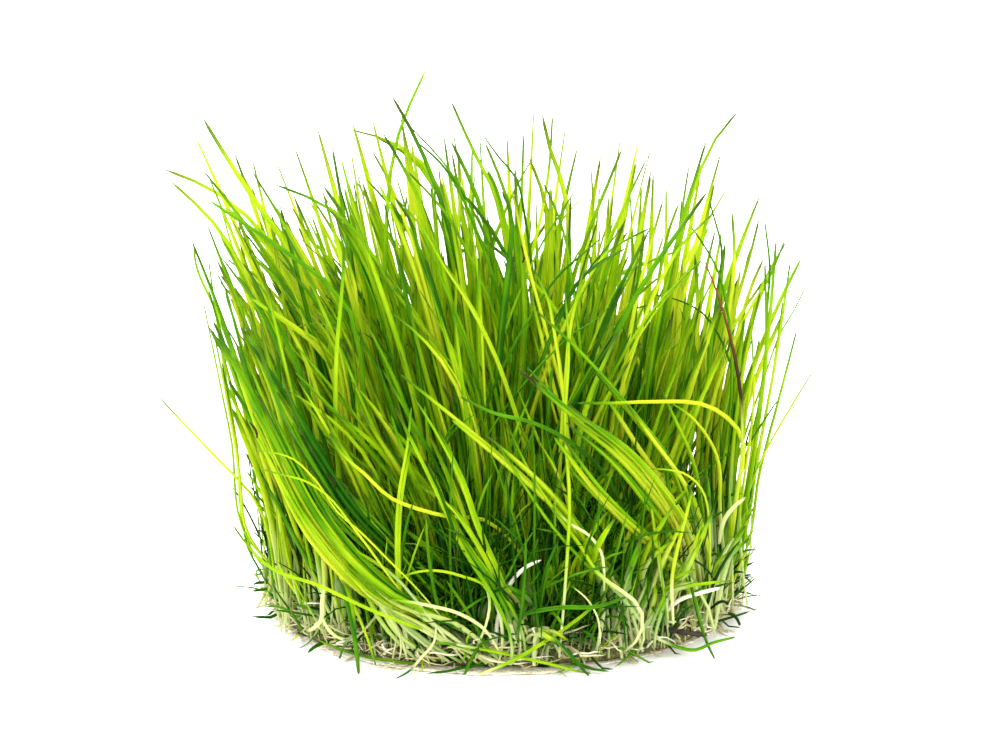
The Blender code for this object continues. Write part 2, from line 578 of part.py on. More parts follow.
def build_mat(chance, parent):
    """The mat: rings stepped up over the rim and in to the middle, and roots drawn out of the rim."""
    bm = bmesh.new()
    bmesh.ops.create_circle(bm, segments=MAT_SIDES, radius=MM * MAT_RADIUS)
    ring = bm.edges[:]
    underside = list(ring)
    for number, (reach, rise) in enumerate(MAT_RINGS):
        if number:
            made = bmesh.ops.extrude_edge_only(bm, edges=ring)["geom"]
            ring = [e for e in made if isinstance(e, bmesh.types.BMEdge) and e.is_boundary]
        lumps = MAT_LUMPS if rise > 0.5 else 0
        for vert in {v for e in ring for v in e.verts}:
            bearing = math.atan2(vert.co.y, vert.co.x)
            height = rise * (MAT_THICKNESS - chance.uniform(0, lumps))
            vert.co = MM * (reach * edge_radius(bearing) * direction(bearing) + (0, 0, height))
    made = bmesh.ops.extrude_edge_only(bm, edges=ring)["geom"]
    middle = [v for v in made if isinstance(v, bmesh.types.BMVert)]
    bmesh.ops.pointmerge(bm, verts=middle, merge_co=(0, 0, MM * MAT_THICKNESS))
    bmesh.ops.contextual_create(bm, geom=underside)
    bmesh.ops.recalc_face_normals(bm, faces=bm.faces[:])
    rim = [f for f in bm.faces if len(f.verts) == 4 and f.calc_center_median().z < 0.2 * MM * MAT_THICKNESS]
    for bearing, length in EDGE_ROOTS:
        out = Vector(direction(math.radians(bearing)))
        face = max(rim, key=lambda f: f.calc_center_median().dot(out))
        rim.remove(face)
        draw_root(bm, chance, face, length)
    return finish_object("root_mat", bm, plant_material("root_cream", ROOT_CREAM, 0.8), (0, 0, 0), parent)


def build_thread(name, width, points, colour, roughness, parent):
    """A runner, a dead leaf or a stub of stem: one thread through its points that thins along its length."""
    shares = np.linspace(0, 1, 9)
    line = smooth_points(points, shares)
    curve = bpy.data.curves.new(name, "CURVE")
    curve.dimensions = "3D"
    curve.bevel_depth = MM * width / 2
    curve.bevel_resolution = 0
    curve.use_fill_caps = True
    spline = curve.splines.new("POLY")
    spline.points.add(len(line) - 1)
    for point, place, share in zip(spline.points, line - line[0], shares):
        point.co = (*(MM * place), 1)
        point.radius = np.interp(share, (0, 1), THREAD_TAPER)
    curve.materials.append(plant_material(name, colour, roughness))
    obj = bpy.data.objects.new(name, curve)
    bpy.context.scene.collection.objects.link(obj)
    obj.location = MM * line[0]
    obj.parent = parent


def main():
    for obj in list(bpy.data.objects):
        bpy.data.objects.remove(obj, do_unlink=True)
    chance = random.Random(SEED)
    plug = bpy.data.objects.new("hairgrass_plug", None)
    bpy.context.scene.collection.objects.link(plug)
    build_mat(chance, plug)
    for name, width, points in RUNNERS:
        build_thread(name, width, points, RUNNER_WHITE, 0.5, plug)
    build_thread("dead_leaf", *DEAD_LEAF, DEAD_BROWN, 0.7, plug)
    build_thread("old_stem", *OLD_STEM, STEM_BROWN, 0.8, plug)
    for tuft, turn, leaves in grow(chance):
        build_tuft(chance, tuft, turn, leaves, plug)


main()
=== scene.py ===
import json
import math
import random

import bmesh
import bpy
import numpy as np
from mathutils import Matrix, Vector
from numpy.linalg import norm

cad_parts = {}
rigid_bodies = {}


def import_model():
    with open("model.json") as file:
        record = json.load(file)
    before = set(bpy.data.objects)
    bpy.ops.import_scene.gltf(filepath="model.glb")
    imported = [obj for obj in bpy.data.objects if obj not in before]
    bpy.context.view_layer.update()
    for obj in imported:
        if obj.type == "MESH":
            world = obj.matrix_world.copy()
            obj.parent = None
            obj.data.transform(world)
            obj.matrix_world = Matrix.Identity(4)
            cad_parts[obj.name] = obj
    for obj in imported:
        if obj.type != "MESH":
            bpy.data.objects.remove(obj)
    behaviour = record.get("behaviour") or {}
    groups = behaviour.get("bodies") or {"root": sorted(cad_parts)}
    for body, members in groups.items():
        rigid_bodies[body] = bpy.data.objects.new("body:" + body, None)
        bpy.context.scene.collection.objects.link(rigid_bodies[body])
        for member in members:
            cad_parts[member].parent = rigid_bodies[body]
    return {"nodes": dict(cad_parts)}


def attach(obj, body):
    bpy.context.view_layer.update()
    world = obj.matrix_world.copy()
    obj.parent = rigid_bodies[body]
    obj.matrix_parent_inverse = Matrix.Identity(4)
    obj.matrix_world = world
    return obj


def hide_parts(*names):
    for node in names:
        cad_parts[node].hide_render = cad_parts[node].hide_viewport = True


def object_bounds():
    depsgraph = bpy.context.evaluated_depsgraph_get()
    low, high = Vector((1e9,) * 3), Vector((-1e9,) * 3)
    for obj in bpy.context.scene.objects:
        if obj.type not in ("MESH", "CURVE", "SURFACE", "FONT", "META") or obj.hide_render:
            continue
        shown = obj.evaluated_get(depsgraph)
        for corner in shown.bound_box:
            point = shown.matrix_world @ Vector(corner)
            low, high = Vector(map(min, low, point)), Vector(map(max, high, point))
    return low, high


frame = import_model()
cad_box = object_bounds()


# The root mat
# A disc of roots and old stem bases that has grown into one felt, cream to tan, with brown silt and green
# algae caught in it. It took the round shape and the flat bottom of the cup that it grew in.

MAT_RADIUS = 0.0305
MAT_SIDES = 96
# The disc's rings, from its underside round its edge to its top, each as radius and height
MAT_STEPS = ((0.0302, 0.0003), (0.0309, 0.0011), (0.0305, 0.0021), (0.0292, 0.0028), (0.0272, 0.0030),
             (0.0240, 0.0030), (0.0200, 0.0030), (0.0150, 0.0030), (0.0090, 0.0030), (0.0040, 0.0030))
LUMP_SPACING = 0.0022
LUMP_HEIGHT = 0.0009
GROUND_GAP = 0.0001


def linear(hex_colour):
    """An sRGB hex colour as the linear values that a shader takes."""
    parts = [int(hex_colour[i:i + 2], 16) / 255 for i in (1, 3, 5)]
    return (*(c / 12.92 if c <= 0.04045 else ((c + 0.055) / 1.055) ** 2.4 for c in parts), 1)


def add_node(tree, kind, settings=None, **links):
    """Adds a node. settings are its own properties, its sockets' values, or a ramp's steps as pairs of place
    and hex colour. links are its sockets' sources."""
    node = tree.nodes.new("ShaderNode" + kind)
    for key, value in (settings or {}).items():
        if key == "steps":
            elements = node.color_ramp.elements
            while len(elements) < len(value):
                elements.new(0.5)
            for element, (place, colour) in zip(elements, value):
                element.position = place
                element.color = linear(colour)
        elif hasattr(node, key):
            setattr(node, key, value)
        else:
            node.inputs[int(key) if key.isdigit() else key].default_value = value
    for key, source in links.items():
        socket = node.inputs[int(key[1:]) if key[1:].isdigit() else key.replace("_", " ")]
        tree.links.new(source, socket)
    return node


def start_material(name):
    """A new material with only its output node."""
    material = bpy.data.materials.new(name)
    material.use_nodes = True
    tree = material.node_tree
    tree.nodes.clear()
    return material, tree, add_node(tree, "OutputMaterial")


def finish_material(tree, output, colour, height, relief, surface, glow=0):
    """The material's surface: relief is the bumps' strength and depth, glow the light that passes through."""
    bump = add_node(tree, "Bump", {"Strength": relief[0], "Distance": relief[1]}, Height=height)
    shader = add_node(tree, "BsdfPrincipled", surface, Base_Color=colour, Normal=bump.outputs["Normal"])
    if glow:
        through = add_node(tree, "BsdfTranslucent", Color=colour)
        shader = add_node(tree, "MixShader", {"Fac": glow}, _1=shader.outputs[0], _2=through.outputs[0])
    tree.links.new(shader.outputs[0], output.inputs["Surface"])


def deselect_all():
    for each in bpy.context.selected_objects:
        each.select_set(False)


# Felted roots, damp: fibres 0.3 mm thick in every direction, cream where they are bare and brown where silt
# has settled between them, with a dull surface.
root_felt, tree, output = start_material("root_felt")
place = add_node(tree, "TexCoord").outputs["Object"]
fibres = add_node(tree, "TexNoise", {"Scale": 900.0, "Detail": 4.0, "Distortion": 2.5}, Vector=place)
silt = add_node(tree, "TexNoise", {"Scale": 210.0, "Detail": 3.0, "Roughness": 0.6}, Vector=place)
felt = add_node(tree, "ValToRGB", {"steps": ((0.32, "#4E4A1C"), (0.5, "#968E50"), (0.68, "#D6CE9E"))},
                Fac=fibres.outputs["Fac"])
dirt = add_node(tree, "ValToRGB", {"steps": ((0.35, "#38421A"), (0.55, "#707A3C"), (0.75, "#B4AE7C"))},
                Fac=silt.outputs["Fac"])
mixed = add_node(tree, "Mix", {"data_type": "RGBA", "blend_type": "MULTIPLY", "0": 0.75},
                 _6=felt.outputs["Color"], _7=dirt.outputs["Color"])
finish_material(tree, output, mixed.outputs[2], fibres.outputs["Fac"], (0.9, 0.0003),
                {"Roughness": 0.78, "IOR": 1.4})

deselect_all()
bpy.ops.mesh.primitive_circle_add(vertices=MAT_SIDES, radius=MAT_STEPS[0][0], fill_type="NGON",
                                  location=(0, 0, MAT_STEPS[0][1]))
root_felt_disc = bpy.context.object
root_felt_disc.name = "root_felt_disc"
bpy.ops.object.mode_set(mode="EDIT")
bpy.ops.mesh.select_all(action="SELECT")
for (radius, height), (last_radius, last_height) in zip(MAT_STEPS[1:], MAT_STEPS):
    bpy.ops.mesh.extrude_region_move(TRANSFORM_OT_translate={"value": (0, 0, height - last_height)})
    share = radius / last_radius
    bpy.ops.transform.resize(value=(share, share, 1), center_override=(0, 0, height))
bpy.ops.mesh.poke()
bpy.ops.mesh.select_all(action="SELECT")
bpy.ops.mesh.quads_convert_to_tris()
bpy.ops.mesh.subdivide(number_cuts=1)
bpy.ops.mesh.normals_make_consistent(inside=False)
bpy.ops.object.mode_set(mode="OBJECT")
bpy.ops.object.transform_apply(location=True, rotation=True, scale=True)
lumps = bpy.data.textures.new("felt_lumps", "CLOUDS")
lumps.noise_scale = LUMP_SPACING
swell = root_felt_disc.modifiers.new("swell", "DISPLACE")
swell.texture = lumps
swell.strength = LUMP_HEIGHT
swell.mid_level = 0.75
bpy.ops.object.modifier_apply(modifier="swell")
for vertex in root_felt_disc.data.vertices:
    vertex.co.z = max(vertex.co.z, GROUND_GAP)
root_felt_disc.data.shade_smooth()
root_felt_disc.data.materials.append(root_felt)
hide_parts("root_mat")
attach(root_felt_disc, "root")


# Roots round the mat
# Fine roots that have crept out of the felt: most hug its rim and top, and some lie on the ground round it.
# They are cream, 0.2 to 0.4 mm thick, round and a little see-through.

ROOT_COUNT = 420
ROOT_STATIONS = 12
ROOT_TAPER = (1, 0.85, 0.35)
ROOT_REACH = 0.0325
LOOSE_ROOT_REACH = 0.0345
FELT_EDGE = 0.0285
FELT_TOP = 0.0032
# Bundles of roots on the ground, each as bearing in degrees and length in millimetres
GROUND_ROOTS = ((12, 3), (47, 5), (86, 3), (118, 4), (161, 5), (204, 3), (229, 4), (248, 6), (262, 4),
                (286, 5), (306, 3), (338, 5))
BUNDLE = 4


def link_object(name, data):
    """A new object in the scene."""
    piece = bpy.data.objects.new(name, data)
    bpy.context.scene.collection.objects.link(piece)
    return piece


def join_threads(name, lines, widths, flatness, marks, material, corners=6, seed=1):
    """One mesh of many threads, each closed. lines goes by thread, station and axis, widths and marks, which
    the material reads, by thread and station, and flatness by thread."""
    lines, widths = np.array(lines), np.array(widths)
    count, stations = widths.shape
    along = np.gradient(lines, axis=1)
    along /= np.maximum(norm(along, axis=2, keepdims=True), 1e-9)
    side = np.random.default_rng(seed).normal(size=(count, 3))
    across = np.empty_like(lines)
    for step in range(stations):
        side = side - along[:, step] * (side * along[:, step]).sum(1, keepdims=True)
        side /= np.maximum(norm(side, axis=1, keepdims=True), 1e-9)
        across[:, step] = side
    thin = np.cross(along, across) * np.broadcast_to(flatness, count)[:, None, None]
    angle = math.tau * np.arange(corners) / corners
    ring = across[:, :, None] * np.cos(angle)[:, None] + thin[:, :, None] * np.sin(angle)[:, None]
    points = lines[:, :, None] + ring * widths[:, :, None, None] / 2
    # A ring of points at every station but the last, which is the tip's one point
    rings = stations - 1
    body = points[:, :rings].reshape(count, rings * corners, 3)
    points = np.concatenate([body, lines[:, -1:]], axis=1).reshape(-1, 3)

    here = np.arange(rings * corners).reshape(rings, corners)
    onward = np.roll(here, -1, axis=1)
    quads = np.stack([here[:-1], onward[:-1], onward[1:], here[1:]], axis=2).reshape(-1, 4)
    tips = np.stack([here[-1], onward[-1], np.full(corners, rings * corners)], axis=1)
    starts = (rings * corners + 1) * np.arange(count)[:, None, None]
    faces = []
    for part in (quads, tips, here[:1, ::-1]):
        faces += (part + starts).reshape(-1, part.shape[1]).tolist()
    mesh = bpy.data.meshes.new(name)
    mesh.from_pydata(points.tolist(), [], faces)

    # The map runs round the thread in u and along it in v.
    grid = np.stack(np.meshgrid(np.arange(corners), np.arange(rings)), axis=2).reshape(-1, 1, 2)
    share = np.array([1 / corners, 1 / rings])
    quad_map = (grid[:-corners] + [[0, 0], [1, 0], [1, 1], [0, 1]]) * share
    tip_map = (grid[-corners:] + [[0, 0], [1, 0], [0.5, 1]]) * share
    uv = np.concatenate([np.tile(quad_map.ravel(), count), np.tile(tip_map.ravel(), count),
                         np.zeros(count * corners * 2)])
    mesh.uv_layers.new(name="length").data.foreach_set("uv", uv.astype(np.float32))
    for mark, values in marks.items():
        values = np.broadcast_to(values, (count, stations))
        spread = np.concatenate([np.repeat(values[:, :rings], corners, axis=1), values[:, -1:]], axis=1)
        attribute = mesh.attributes.new(mark, "FLOAT", "POINT")
        attribute.data.foreach_set("value", spread.ravel().astype(np.float32))
    mesh.shade_smooth()
    mesh.update()
    mesh.materials.append(material)
    return link_object(name, mesh)


def tip_shares(stations, crowding):
    """Where the stations sit, as shares of the length."""
    return 1 - np.linspace(1, 0, stations) ** crowding


def smooth_line(points, stations, crowding=1.0):
    """A smooth curve through a few points as stations, evenly spaced or closer together towards its tip."""
    line = np.array(points, float)
    gaps = norm(np.diff(line, axis=0), axis=1)
    slopes = np.gradient(line, np.concatenate([[0], np.cumsum(gaps)]), axis=0)
    t = np.linspace(0, 1, 10, endpoint=False)[:, None]
    fine = [a + (b - a) * t**2 * (3 - 2 * t) + gap * t * (1 - t) * (da * (1 - t) - db * t)
            for a, b, da, db, gap in zip(line, line[1:], slopes, slopes[1:], gaps)]
    fine = np.vstack([*fine, line[-1:]])
    run = np.concatenate([[0], np.cumsum(norm(np.diff(fine, axis=0), axis=1))])
    share = run[-1] * tip_shares(stations, crowding)
    return np.column_stack([np.interp(share, run, fine[:, i]) for i in range(3)])


def wet_thread_material(name, steps, roughness, bump_mm):
    """A damp plant thread: its colour steps by the mark tone, with fine lengthwise streaks."""
    material, tree, output = start_material(name)
    tone = add_node(tree, "Attribute", {"attribute_name": "tone"}).outputs["Fac"]
    place = add_node(tree, "TexCoord").outputs["UV"]
    stretched = add_node(tree, "Mapping", {"Scale": (5.0, 1.2, 1.0)}, Vector=place).outputs["Vector"]
    streak = add_node(tree, "TexNoise", {"Scale": 1.6, "Detail": 2.0}, Vector=stretched).outputs["Fac"]
    spread = add_node(tree, "Math", {"operation": "MULTIPLY_ADD", "1": 0.5, "2": -0.25}, _0=streak)
    shifted = add_node(tree, "Math", {"operation": "ADD", "use_clamp": True}, _0=tone, _1=spread.outputs[0])
    colour = add_node(tree, "ValToRGB", {"steps": steps}, Fac=shifted.outputs[0]).outputs["Color"]
    finish_material(tree, output, colour, streak, (0.4, bump_mm / 1000),
                    {"Roughness": roughness, "IOR": 1.4, "Specular IOR Level": 0.3}, glow=0.25)
    return material


def level(heading):
    """One step over the ground in a heading."""
    return np.array([math.cos(heading), math.sin(heading), 0])


# Living root, cream to tan, round and damp: a soft sheen, and a little light passes through.
damp_root = wet_thread_material(
    "damp_root", ((0.0, "#766A34"), (0.25, "#A89C60"), (0.6, "#D8D0A0"), (1.0, "#F2EEDA")), 0.45, 0.03)

chance = random.Random(3)
lines, widths, tones = [], [], []
for number in range(ROOT_COUNT):
    bearing = chance.uniform(0, math.tau)
    reach = MAT_RADIUS - abs(chance.gauss(0, 0.0030))
    heading = bearing + chance.choice((-1, 1)) * chance.uniform(0.4, 1.7)
    point = reach * level(bearing) + (0, 0, chance.uniform(0.0009, 0.0036))
    line, lift = [point], chance.gauss(0.00003, 0.00022)
    length = chance.uniform(0.004, 0.013)
    for step in range(ROOT_STATIONS - 1):
        heading += chance.gauss(0, 0.34)
        lift = 0.75 * lift + chance.gauss(0, 0.00012)
        point = point + level(heading) * length / ROOT_STATIONS + (0, 0, lift)
        outward = math.hypot(point[0], point[1])
        limit = ROOT_REACH if number % 5 else LOOSE_ROOT_REACH
        if outward > limit:
            point[:2] *= limit / outward
            heading += 0.5
        over_edge = 1 if outward < FELT_EDGE else max(0.0, (ROOT_REACH - outward) / 0.004)
        point[2] = min(max(point[2], FELT_TOP * over_edge + 0.0002), 0.0062)
        line.append(point)
    lines.append(line)
    thick = chance.uniform(0.00016, 0.00036)
    widths.append([thick * w for w in np.interp(np.linspace(0, 1, ROOT_STATIONS), (0, 0.7, 1), ROOT_TAPER)])
    tones.append([chance.uniform(0.3, 1.0)])
rim_roots = join_threads("rim_roots", lines, widths, 1, {"tone": tones}, damp_root)
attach(rim_roots, "root")

lines, widths, tones = [], [], []
for bearing, length in GROUND_ROOTS:
    for strand in range(BUNDLE):
        angle = math.radians(bearing + chance.uniform(-5, 5))
        heading = angle + chance.gauss(0, 0.35)
        point = (MAT_RADIUS - 0.0004) * level(angle) + (0, 0, chance.uniform(0.0004, 0.0016))
        line = [point]
        span = length * chance.uniform(0.55, 1.0) / 1000
        for step in range(ROOT_STATIONS - 1):
            heading += chance.gauss(0, 0.2)
            point = point + level(heading) * span / ROOT_STATIONS
            point[2] = max(0.00018, point[2] * 0.8)
            line.append(point)
        lines.append(line)
        widths.append([chance.uniform(0.0002, 0.00034) * w for w in np.linspace(1, 0.4, ROOT_STATIONS)])
        tones.append([chance.uniform(0.35, 0.9)])
ground_roots = join_threads("ground_roots", lines, widths, 1, {"tone": tones}, damp_root)
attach(ground_roots, "root")


# The film under the mat
# A skin of root hairs and dried slime that grew on the bottom of the cup. It came away with the plug, and
# its thin torn edge lies on the ground a few millimetres past the mat, most of it at the front.

FILM_SPOKES = 260
FILM_STEPS = 6
FILM_INNER = 0.0290
FILM_EDGE = 0.0306
FILM_LEAST = 0.0302
FILM_MOST = 0.0352
FILM_THICKNESS = 0.00008

# Dried root skin, nearly white, with faint tan fibres.
root_skin, tree, output = start_material("root_skin")
place = add_node(tree, "TexCoord").outputs["Object"]
fibres = add_node(tree, "TexNoise", {"Scale": 700.0, "Detail": 4.0, "Distortion": 3.0}, Vector=place)
skin = add_node(tree, "ValToRGB", {"steps": ((0.35, "#BCAE86"), (0.5, "#E8E0CA"), (0.65, "#F8F6EC"))},
                Fac=fibres.outputs["Fac"])
finish_material(tree, output, skin.outputs["Color"], fibres.outputs["Fac"], (0.6, 0.0001),
                {"Roughness": 0.6, "IOR": 1.4})


def set_round(reach, bearing, height):
    """Points at their reach and bearing from the middle, and their height."""
    return np.stack([reach * np.cos(bearing), reach * np.sin(bearing), height], axis=-1)


rng = np.random.default_rng(31)
bearing = math.tau * np.arange(FILM_SPOKES) / FILM_SPOKES
frontness = np.exp(-((bearing - 4.4) / 0.75) ** 2)
tears = sum(rng.uniform(0.2, 1) / wave**0.5 * np.sin(wave * bearing + rng.uniform(0, math.tau))
            for wave in (3, 5, 8, 13, 19, 29, 41, 59))
edge = FILM_EDGE + 0.0018 * frontness + 0.0008 * tears * (0.2 + frontness)
share = np.linspace(0, 1, FILM_STEPS)[:, None]
radius = FILM_INNER + share * (np.clip(edge, FILM_LEAST, FILM_MOST) - FILM_INNER)
height = 0.00012 + 0.0003 * (1 - share) + 0.00022 * rng.random((FILM_STEPS, FILM_SPOKES)) * share
points = set_round(radius, bearing, height).reshape(-1, 3)
here = np.arange(FILM_STEPS * FILM_SPOKES).reshape(FILM_STEPS, FILM_SPOKES)
onward = np.roll(here, -1, axis=1)
quads = np.stack([here[:-1], here[1:], onward[1:], onward[:-1]], axis=2).reshape(-1, 4)
film_mesh = bpy.data.meshes.new("root_film")
film_mesh.from_pydata(points.tolist(), [], quads.tolist())
root_film = link_object("root_film", film_mesh)
thickness = root_film.modifiers.new("thickness", "SOLIDIFY")
thickness.thickness = FILM_THICKNESS
deselect_all()
root_film.select_set(True)
bpy.context.view_layer.objects.active = root_film
bpy.ops.object.modifier_apply(modifier="thickness")
root_film.data.shade_smooth()
root_film.data.materials.append(root_skin)
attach(root_film, "root")


# The tufts' leaves
# Each tuft grows from one crown. Its leaves are thin green threads, 0.4 to 0.9 mm wide, and wet enough to
# cling together in striped locks, which part again towards their tips. Their feet are white.

LEAF_STATIONS = 13
FINE_STATIONS = 22
TIP_CROWDING = 1.4
LEAF_WIDTH = 0.00064
LEAVES_ABREAST = 0.00040
LOOSE_LOCKS = 17
YELLOW_TUFTS = ("tuft_sweep_left", "tuft_sweep_right", "tuft_front_middle", "tuft_fallen_left",
                "tuft_front_right")
# The named tufts are older, and deeper green, but for three.
NUMBERED_TONE = 0.6
NAMED_TONE = 0.26
LIME_TUFTS = {"tuft_shoulder_back": 0.66, "tuft_fork_middle": 0.55, "tuft_rim_right": 0.4}
# Tufts with few loose locks
SPARSE_TUFTS = {"tuft_sweep_left": 3, "tuft_sweep_right": 3, "tuft_arch_right": 0, "tuft_front_middle": 7,
                "tuft_fallen_left": 7, "tuft_front_right": 6}
# The crowd is lower here, between the plug's middle and its right-hand group.
DIP_MIDDLE = 0.019
DIP_WIDTH = 0.008
DIP_DEPTH = 0.26
# How far out loose locks may reach, at the ground and by height
PLUG_REACH = 0.0355
PLUG_SPREAD = 0.12
HIGH_UP = 0.042
# Where the rim's tufts begin, and how much painted light lightens the leaves high up, at the back, where it
# stands for light shining through from behind, and at the sides
RIM_START = 0.021
RIM_BAND = 0.006
PAINTED_LIGHT_HIGH = 0.24
PAINTED_BACKLIGHT = 0.12
PAINTED_LIGHT_SIDE = 0.27

# Leaves that stand alone, each by the tip of its solid in millimetres, with its width and tone
LONE_LEAVES = (
    ((9.3, -20.5, 32.6), 0.56, 0.9), ((21.5, -12.5, 31.2), 0.5, 0.8), ((20.3, -14.3, 33.6), 0.6, 0.35),
    ((17.2, -9.4, 22.2), 0.45, 0.9), ((-34.1, -29.5, 19.0), 0.5, 0.8), ((-46.0, 0.0, 29.2), 0.38, 0.75),
    ((-9.6, -3.0, 74.0), 0.55, 0.3), ((-1.0, -28.6, 29.7), 0.45, 0.3), ((41.3, -3.4, 33.5), 0.35, 0.5),
)

# Broad locks across the front, each by the tip of its solid, with its width, how many leaves lie in it, how
# much deeper its upper side is, and the leaves' tone at foot and tip
BROAD_LOCKS = (
    ((-35.5, -26.5, 45.0), 3.4, 14, 0.6, 0.6, 0.3), ((-31.0, -25.5, 41.8), 2.6, 9, 0.4, 0.14, 0.1),
    ((2.0, -26.0, 38.2), 2.7, 14, -0.3, 0.9, 0.2), ((6.5, -27.0, 29.8), 1.4, 5, 0.3, 0.5, 0.35),
    ((-13.0, -24.5, 37.4), 1.5, 5, 0.3, 0.45, 0.95),
)
TOWARDS_CAMERA = np.array([0.1, -1, 0.1])

# The left sweep's cream feet run up from the mat's front edge to where they gather into one lock, in mm.
SWEEP_FEET = 15
FEET_FROM = ((-14.0, -29.5, 1.2), (1.0, -31.6, 1.2))
FEET_MEET = (-15.5, -31.4, 9.4)

# The leaves stay within the part's own box, give or take this much.
BOX_SLACK = 0.0012
low = np.array(cad_box[0]) - BOX_SLACK
high = np.array(cad_box[1]) + BOX_SLACK


def leaf_spines(node):
    """The middle line of each leaf of a tuft's solid, from its crown to its tip, and its greatest width."""
    bm = bmesh.new()
    bm.from_mesh(node.data)
    bmesh.ops.remove_doubles(bm, verts=bm.verts[:], dist=1e-6)
    spines = []
    for tip in [v for v in bm.verts if len(v.link_edges) == 3]:
        ring, seen, middles, width = [tip], {tip}, [tip.co.copy()], 0
        while True:
            ring = list({e.other_vert(v) for v in ring for e in v.link_edges} - seen)
            if len(ring) != 3:
                break
            seen.update(ring)
            middles.append(sum((v.co for v in ring), Vector()) / 3)
            if len(middles) < 4:
                width = max(width, max((a.co - b.co).length for a in ring for b in ring))
        if len(middles) > 3:
            spines.append((np.array(middles[::-1]), width))
    bm.free()
    return spines


def leaf_material(name, steps):
    """A living leaf: green by the mark tone, white by the mark pale at its foot, brown by the mark dry."""
    material, tree, output = start_material(name)
    tone, pale, dry, own = (add_node(tree, "Attribute", {"attribute_name": mark}).outputs["Fac"]
                            for mark in ("tone", "pale", "dry", "own"))
    place = add_node(tree, "TexCoord")
    # Two or three stripes run the leaf's length, where its ribs and the air channels between them show.
    stretched = add_node(tree, "Mapping", {"Scale": (3.4, 0.5, 1.0)}, Vector=place.outputs["UV"])
    ribs = add_node(tree, "TexNoise", {"noise_dimensions": "4D", "Scale": 1.5, "Detail": 1.5},
                    Vector=stretched.outputs["Vector"], W=own).outputs["Fac"]
    # Patches of younger and older tissue, 5 to 10 mm long.
    patches = add_node(tree, "TexNoise", {"Scale": 160.0, "Detail": 2.0}, Vector=place.outputs["Object"])
    both = add_node(tree, "Math", {"operation": "ADD"}, _0=ribs, _1=patches.outputs["Fac"])
    spread = add_node(tree, "Math", {"operation": "MULTIPLY_ADD", "1": 0.75, "2": -0.75}, _0=both.outputs[0])
    shifted = add_node(tree, "Math", {"operation": "ADD", "use_clamp": True}, _0=tone, _1=spread.outputs[0])
    colour = add_node(tree, "ValToRGB", {"steps": steps}, Fac=shifted.outputs[0]).outputs["Color"]
    for share, tint in ((pale, "#E4E8B0"), (dry, "#4C5422")):
        tinted = add_node(tree, "Mix", {"data_type": "RGBA", "7": linear(tint)}, _0=share, _6=colour)
        colour = tinted.outputs[2]
    finish_material(tree, output, colour, ribs, (0.3, 0.00004),
                    {"Roughness": 0.45, "IOR": 1.38, "Specular IOR Level": 0.14}, glow=0.5)
    return material


# Living leaf, smooth and wet: light passes through it, so it glows lime where it is lit from behind, and a
# thin film of water gives it narrow highlights.
wet_leaf = leaf_material("wet_leaf", (
    (0.0, "#2A6602"), (0.22, "#549602"), (0.45, "#84B406"), (0.7, "#A6C80E"), (1.0, "#CCD82C")))
young_leaf = leaf_material("young_wet_leaf", (
    (0.0, "#2A6C04"), (0.3, "#68A806"), (0.6, "#A8CA10"), (1.0, "#D2DC34")))


def leaf_widths(width, shares):
    """A leaf keeps its width for most of its length, then thins to a short blunt point."""
    return width * np.interp(shares, (0, 0.1, 0.3, 0.6, 0.85, 0.96, 1), (0.6, 0.75, 1, 0.97, 0.8, 0.6, 0.45))


def bowed(line, rng, bow, flick):
    """The line bent to one side in its middle and to another at its tip, as far as the part's box allows.
    On the left the tips arch over to the left, and on the right a little to the right."""
    run = np.linspace(0, 1, len(line))[:, None]
    short = min(1, norm(line[-1] - line[0]) / 0.045)
    bow, flick = bow * short, flick * short**1.5
    over = float(np.clip(line[-1, 0] / 0.020 - 0.25, -1, 0.5))
    arch = flick * np.array([0.9 * over, -0.2, -0.45 * abs(over)])
    bend = rng.normal(0, bow, 3) * np.sin(math.pi * run)
    bend = bend + (arch + rng.normal(0, flick, 3) * (1, 1, 0.4)) * run**2.4
    for share in (1, 0.75, 0.5, 0.25):
        bent = line + share * bend
        if (bent > low).all() and (bent < high).all():
            return bent
    return line


def lock(middle, width, count, rng, tone, facing, shortest=0.7, fray=0.0010, shade=0.0):
    """The leaves that cling side by side along one curve, as threads of (line, kept, width, tone, foot). They
    lie across the direction facing, closest together at both ends, and the outer ones are shorter and part at
    their tips. shade is how much deeper in colour the lock's upper side is than its lower."""
    run = np.linspace(0, 1, len(middle))[:, None]
    lean = middle[-1] - middle[0]
    side = np.cross(lean, facing)
    side /= norm(side)
    depth = np.cross(lean / norm(lean), side)
    for number in range(count):
        place = (number + 0.5) / count - 0.5 + rng.normal(0, 0.08)
        spread = side * place * width * (0.3 + 0.7 * np.sin(math.pi * run**0.8))
        line = bowed(middle + spread + depth * rng.normal(0, 0.00016), rng, 0.0003, 0.0)
        kept = 1.0
        if number != count // 2:
            line = line + rng.normal(0, fray, 3) * (1, 1, 0.3) * run**3
            kept = rng.uniform(shortest, min(1.0, shortest + 0.3))
        leaf_width = LEAF_WIDTH * rng.uniform(0.7, 1.25)
        yield line, kept, leaf_width, tone + rng.normal(0, 0.13) - shade * place, None


def set_by_tip(choices, tip):
    """The entry of a table of leaves whose tip is this one, or none."""
    return next((rest for place, *rest in choices if norm(tip * 1000 - place) < 3), None)


def new_marks():
    """Empty lists for what a leaf's material reads."""
    return {"tone": [], "pale": [], "dry": [], "own": []}


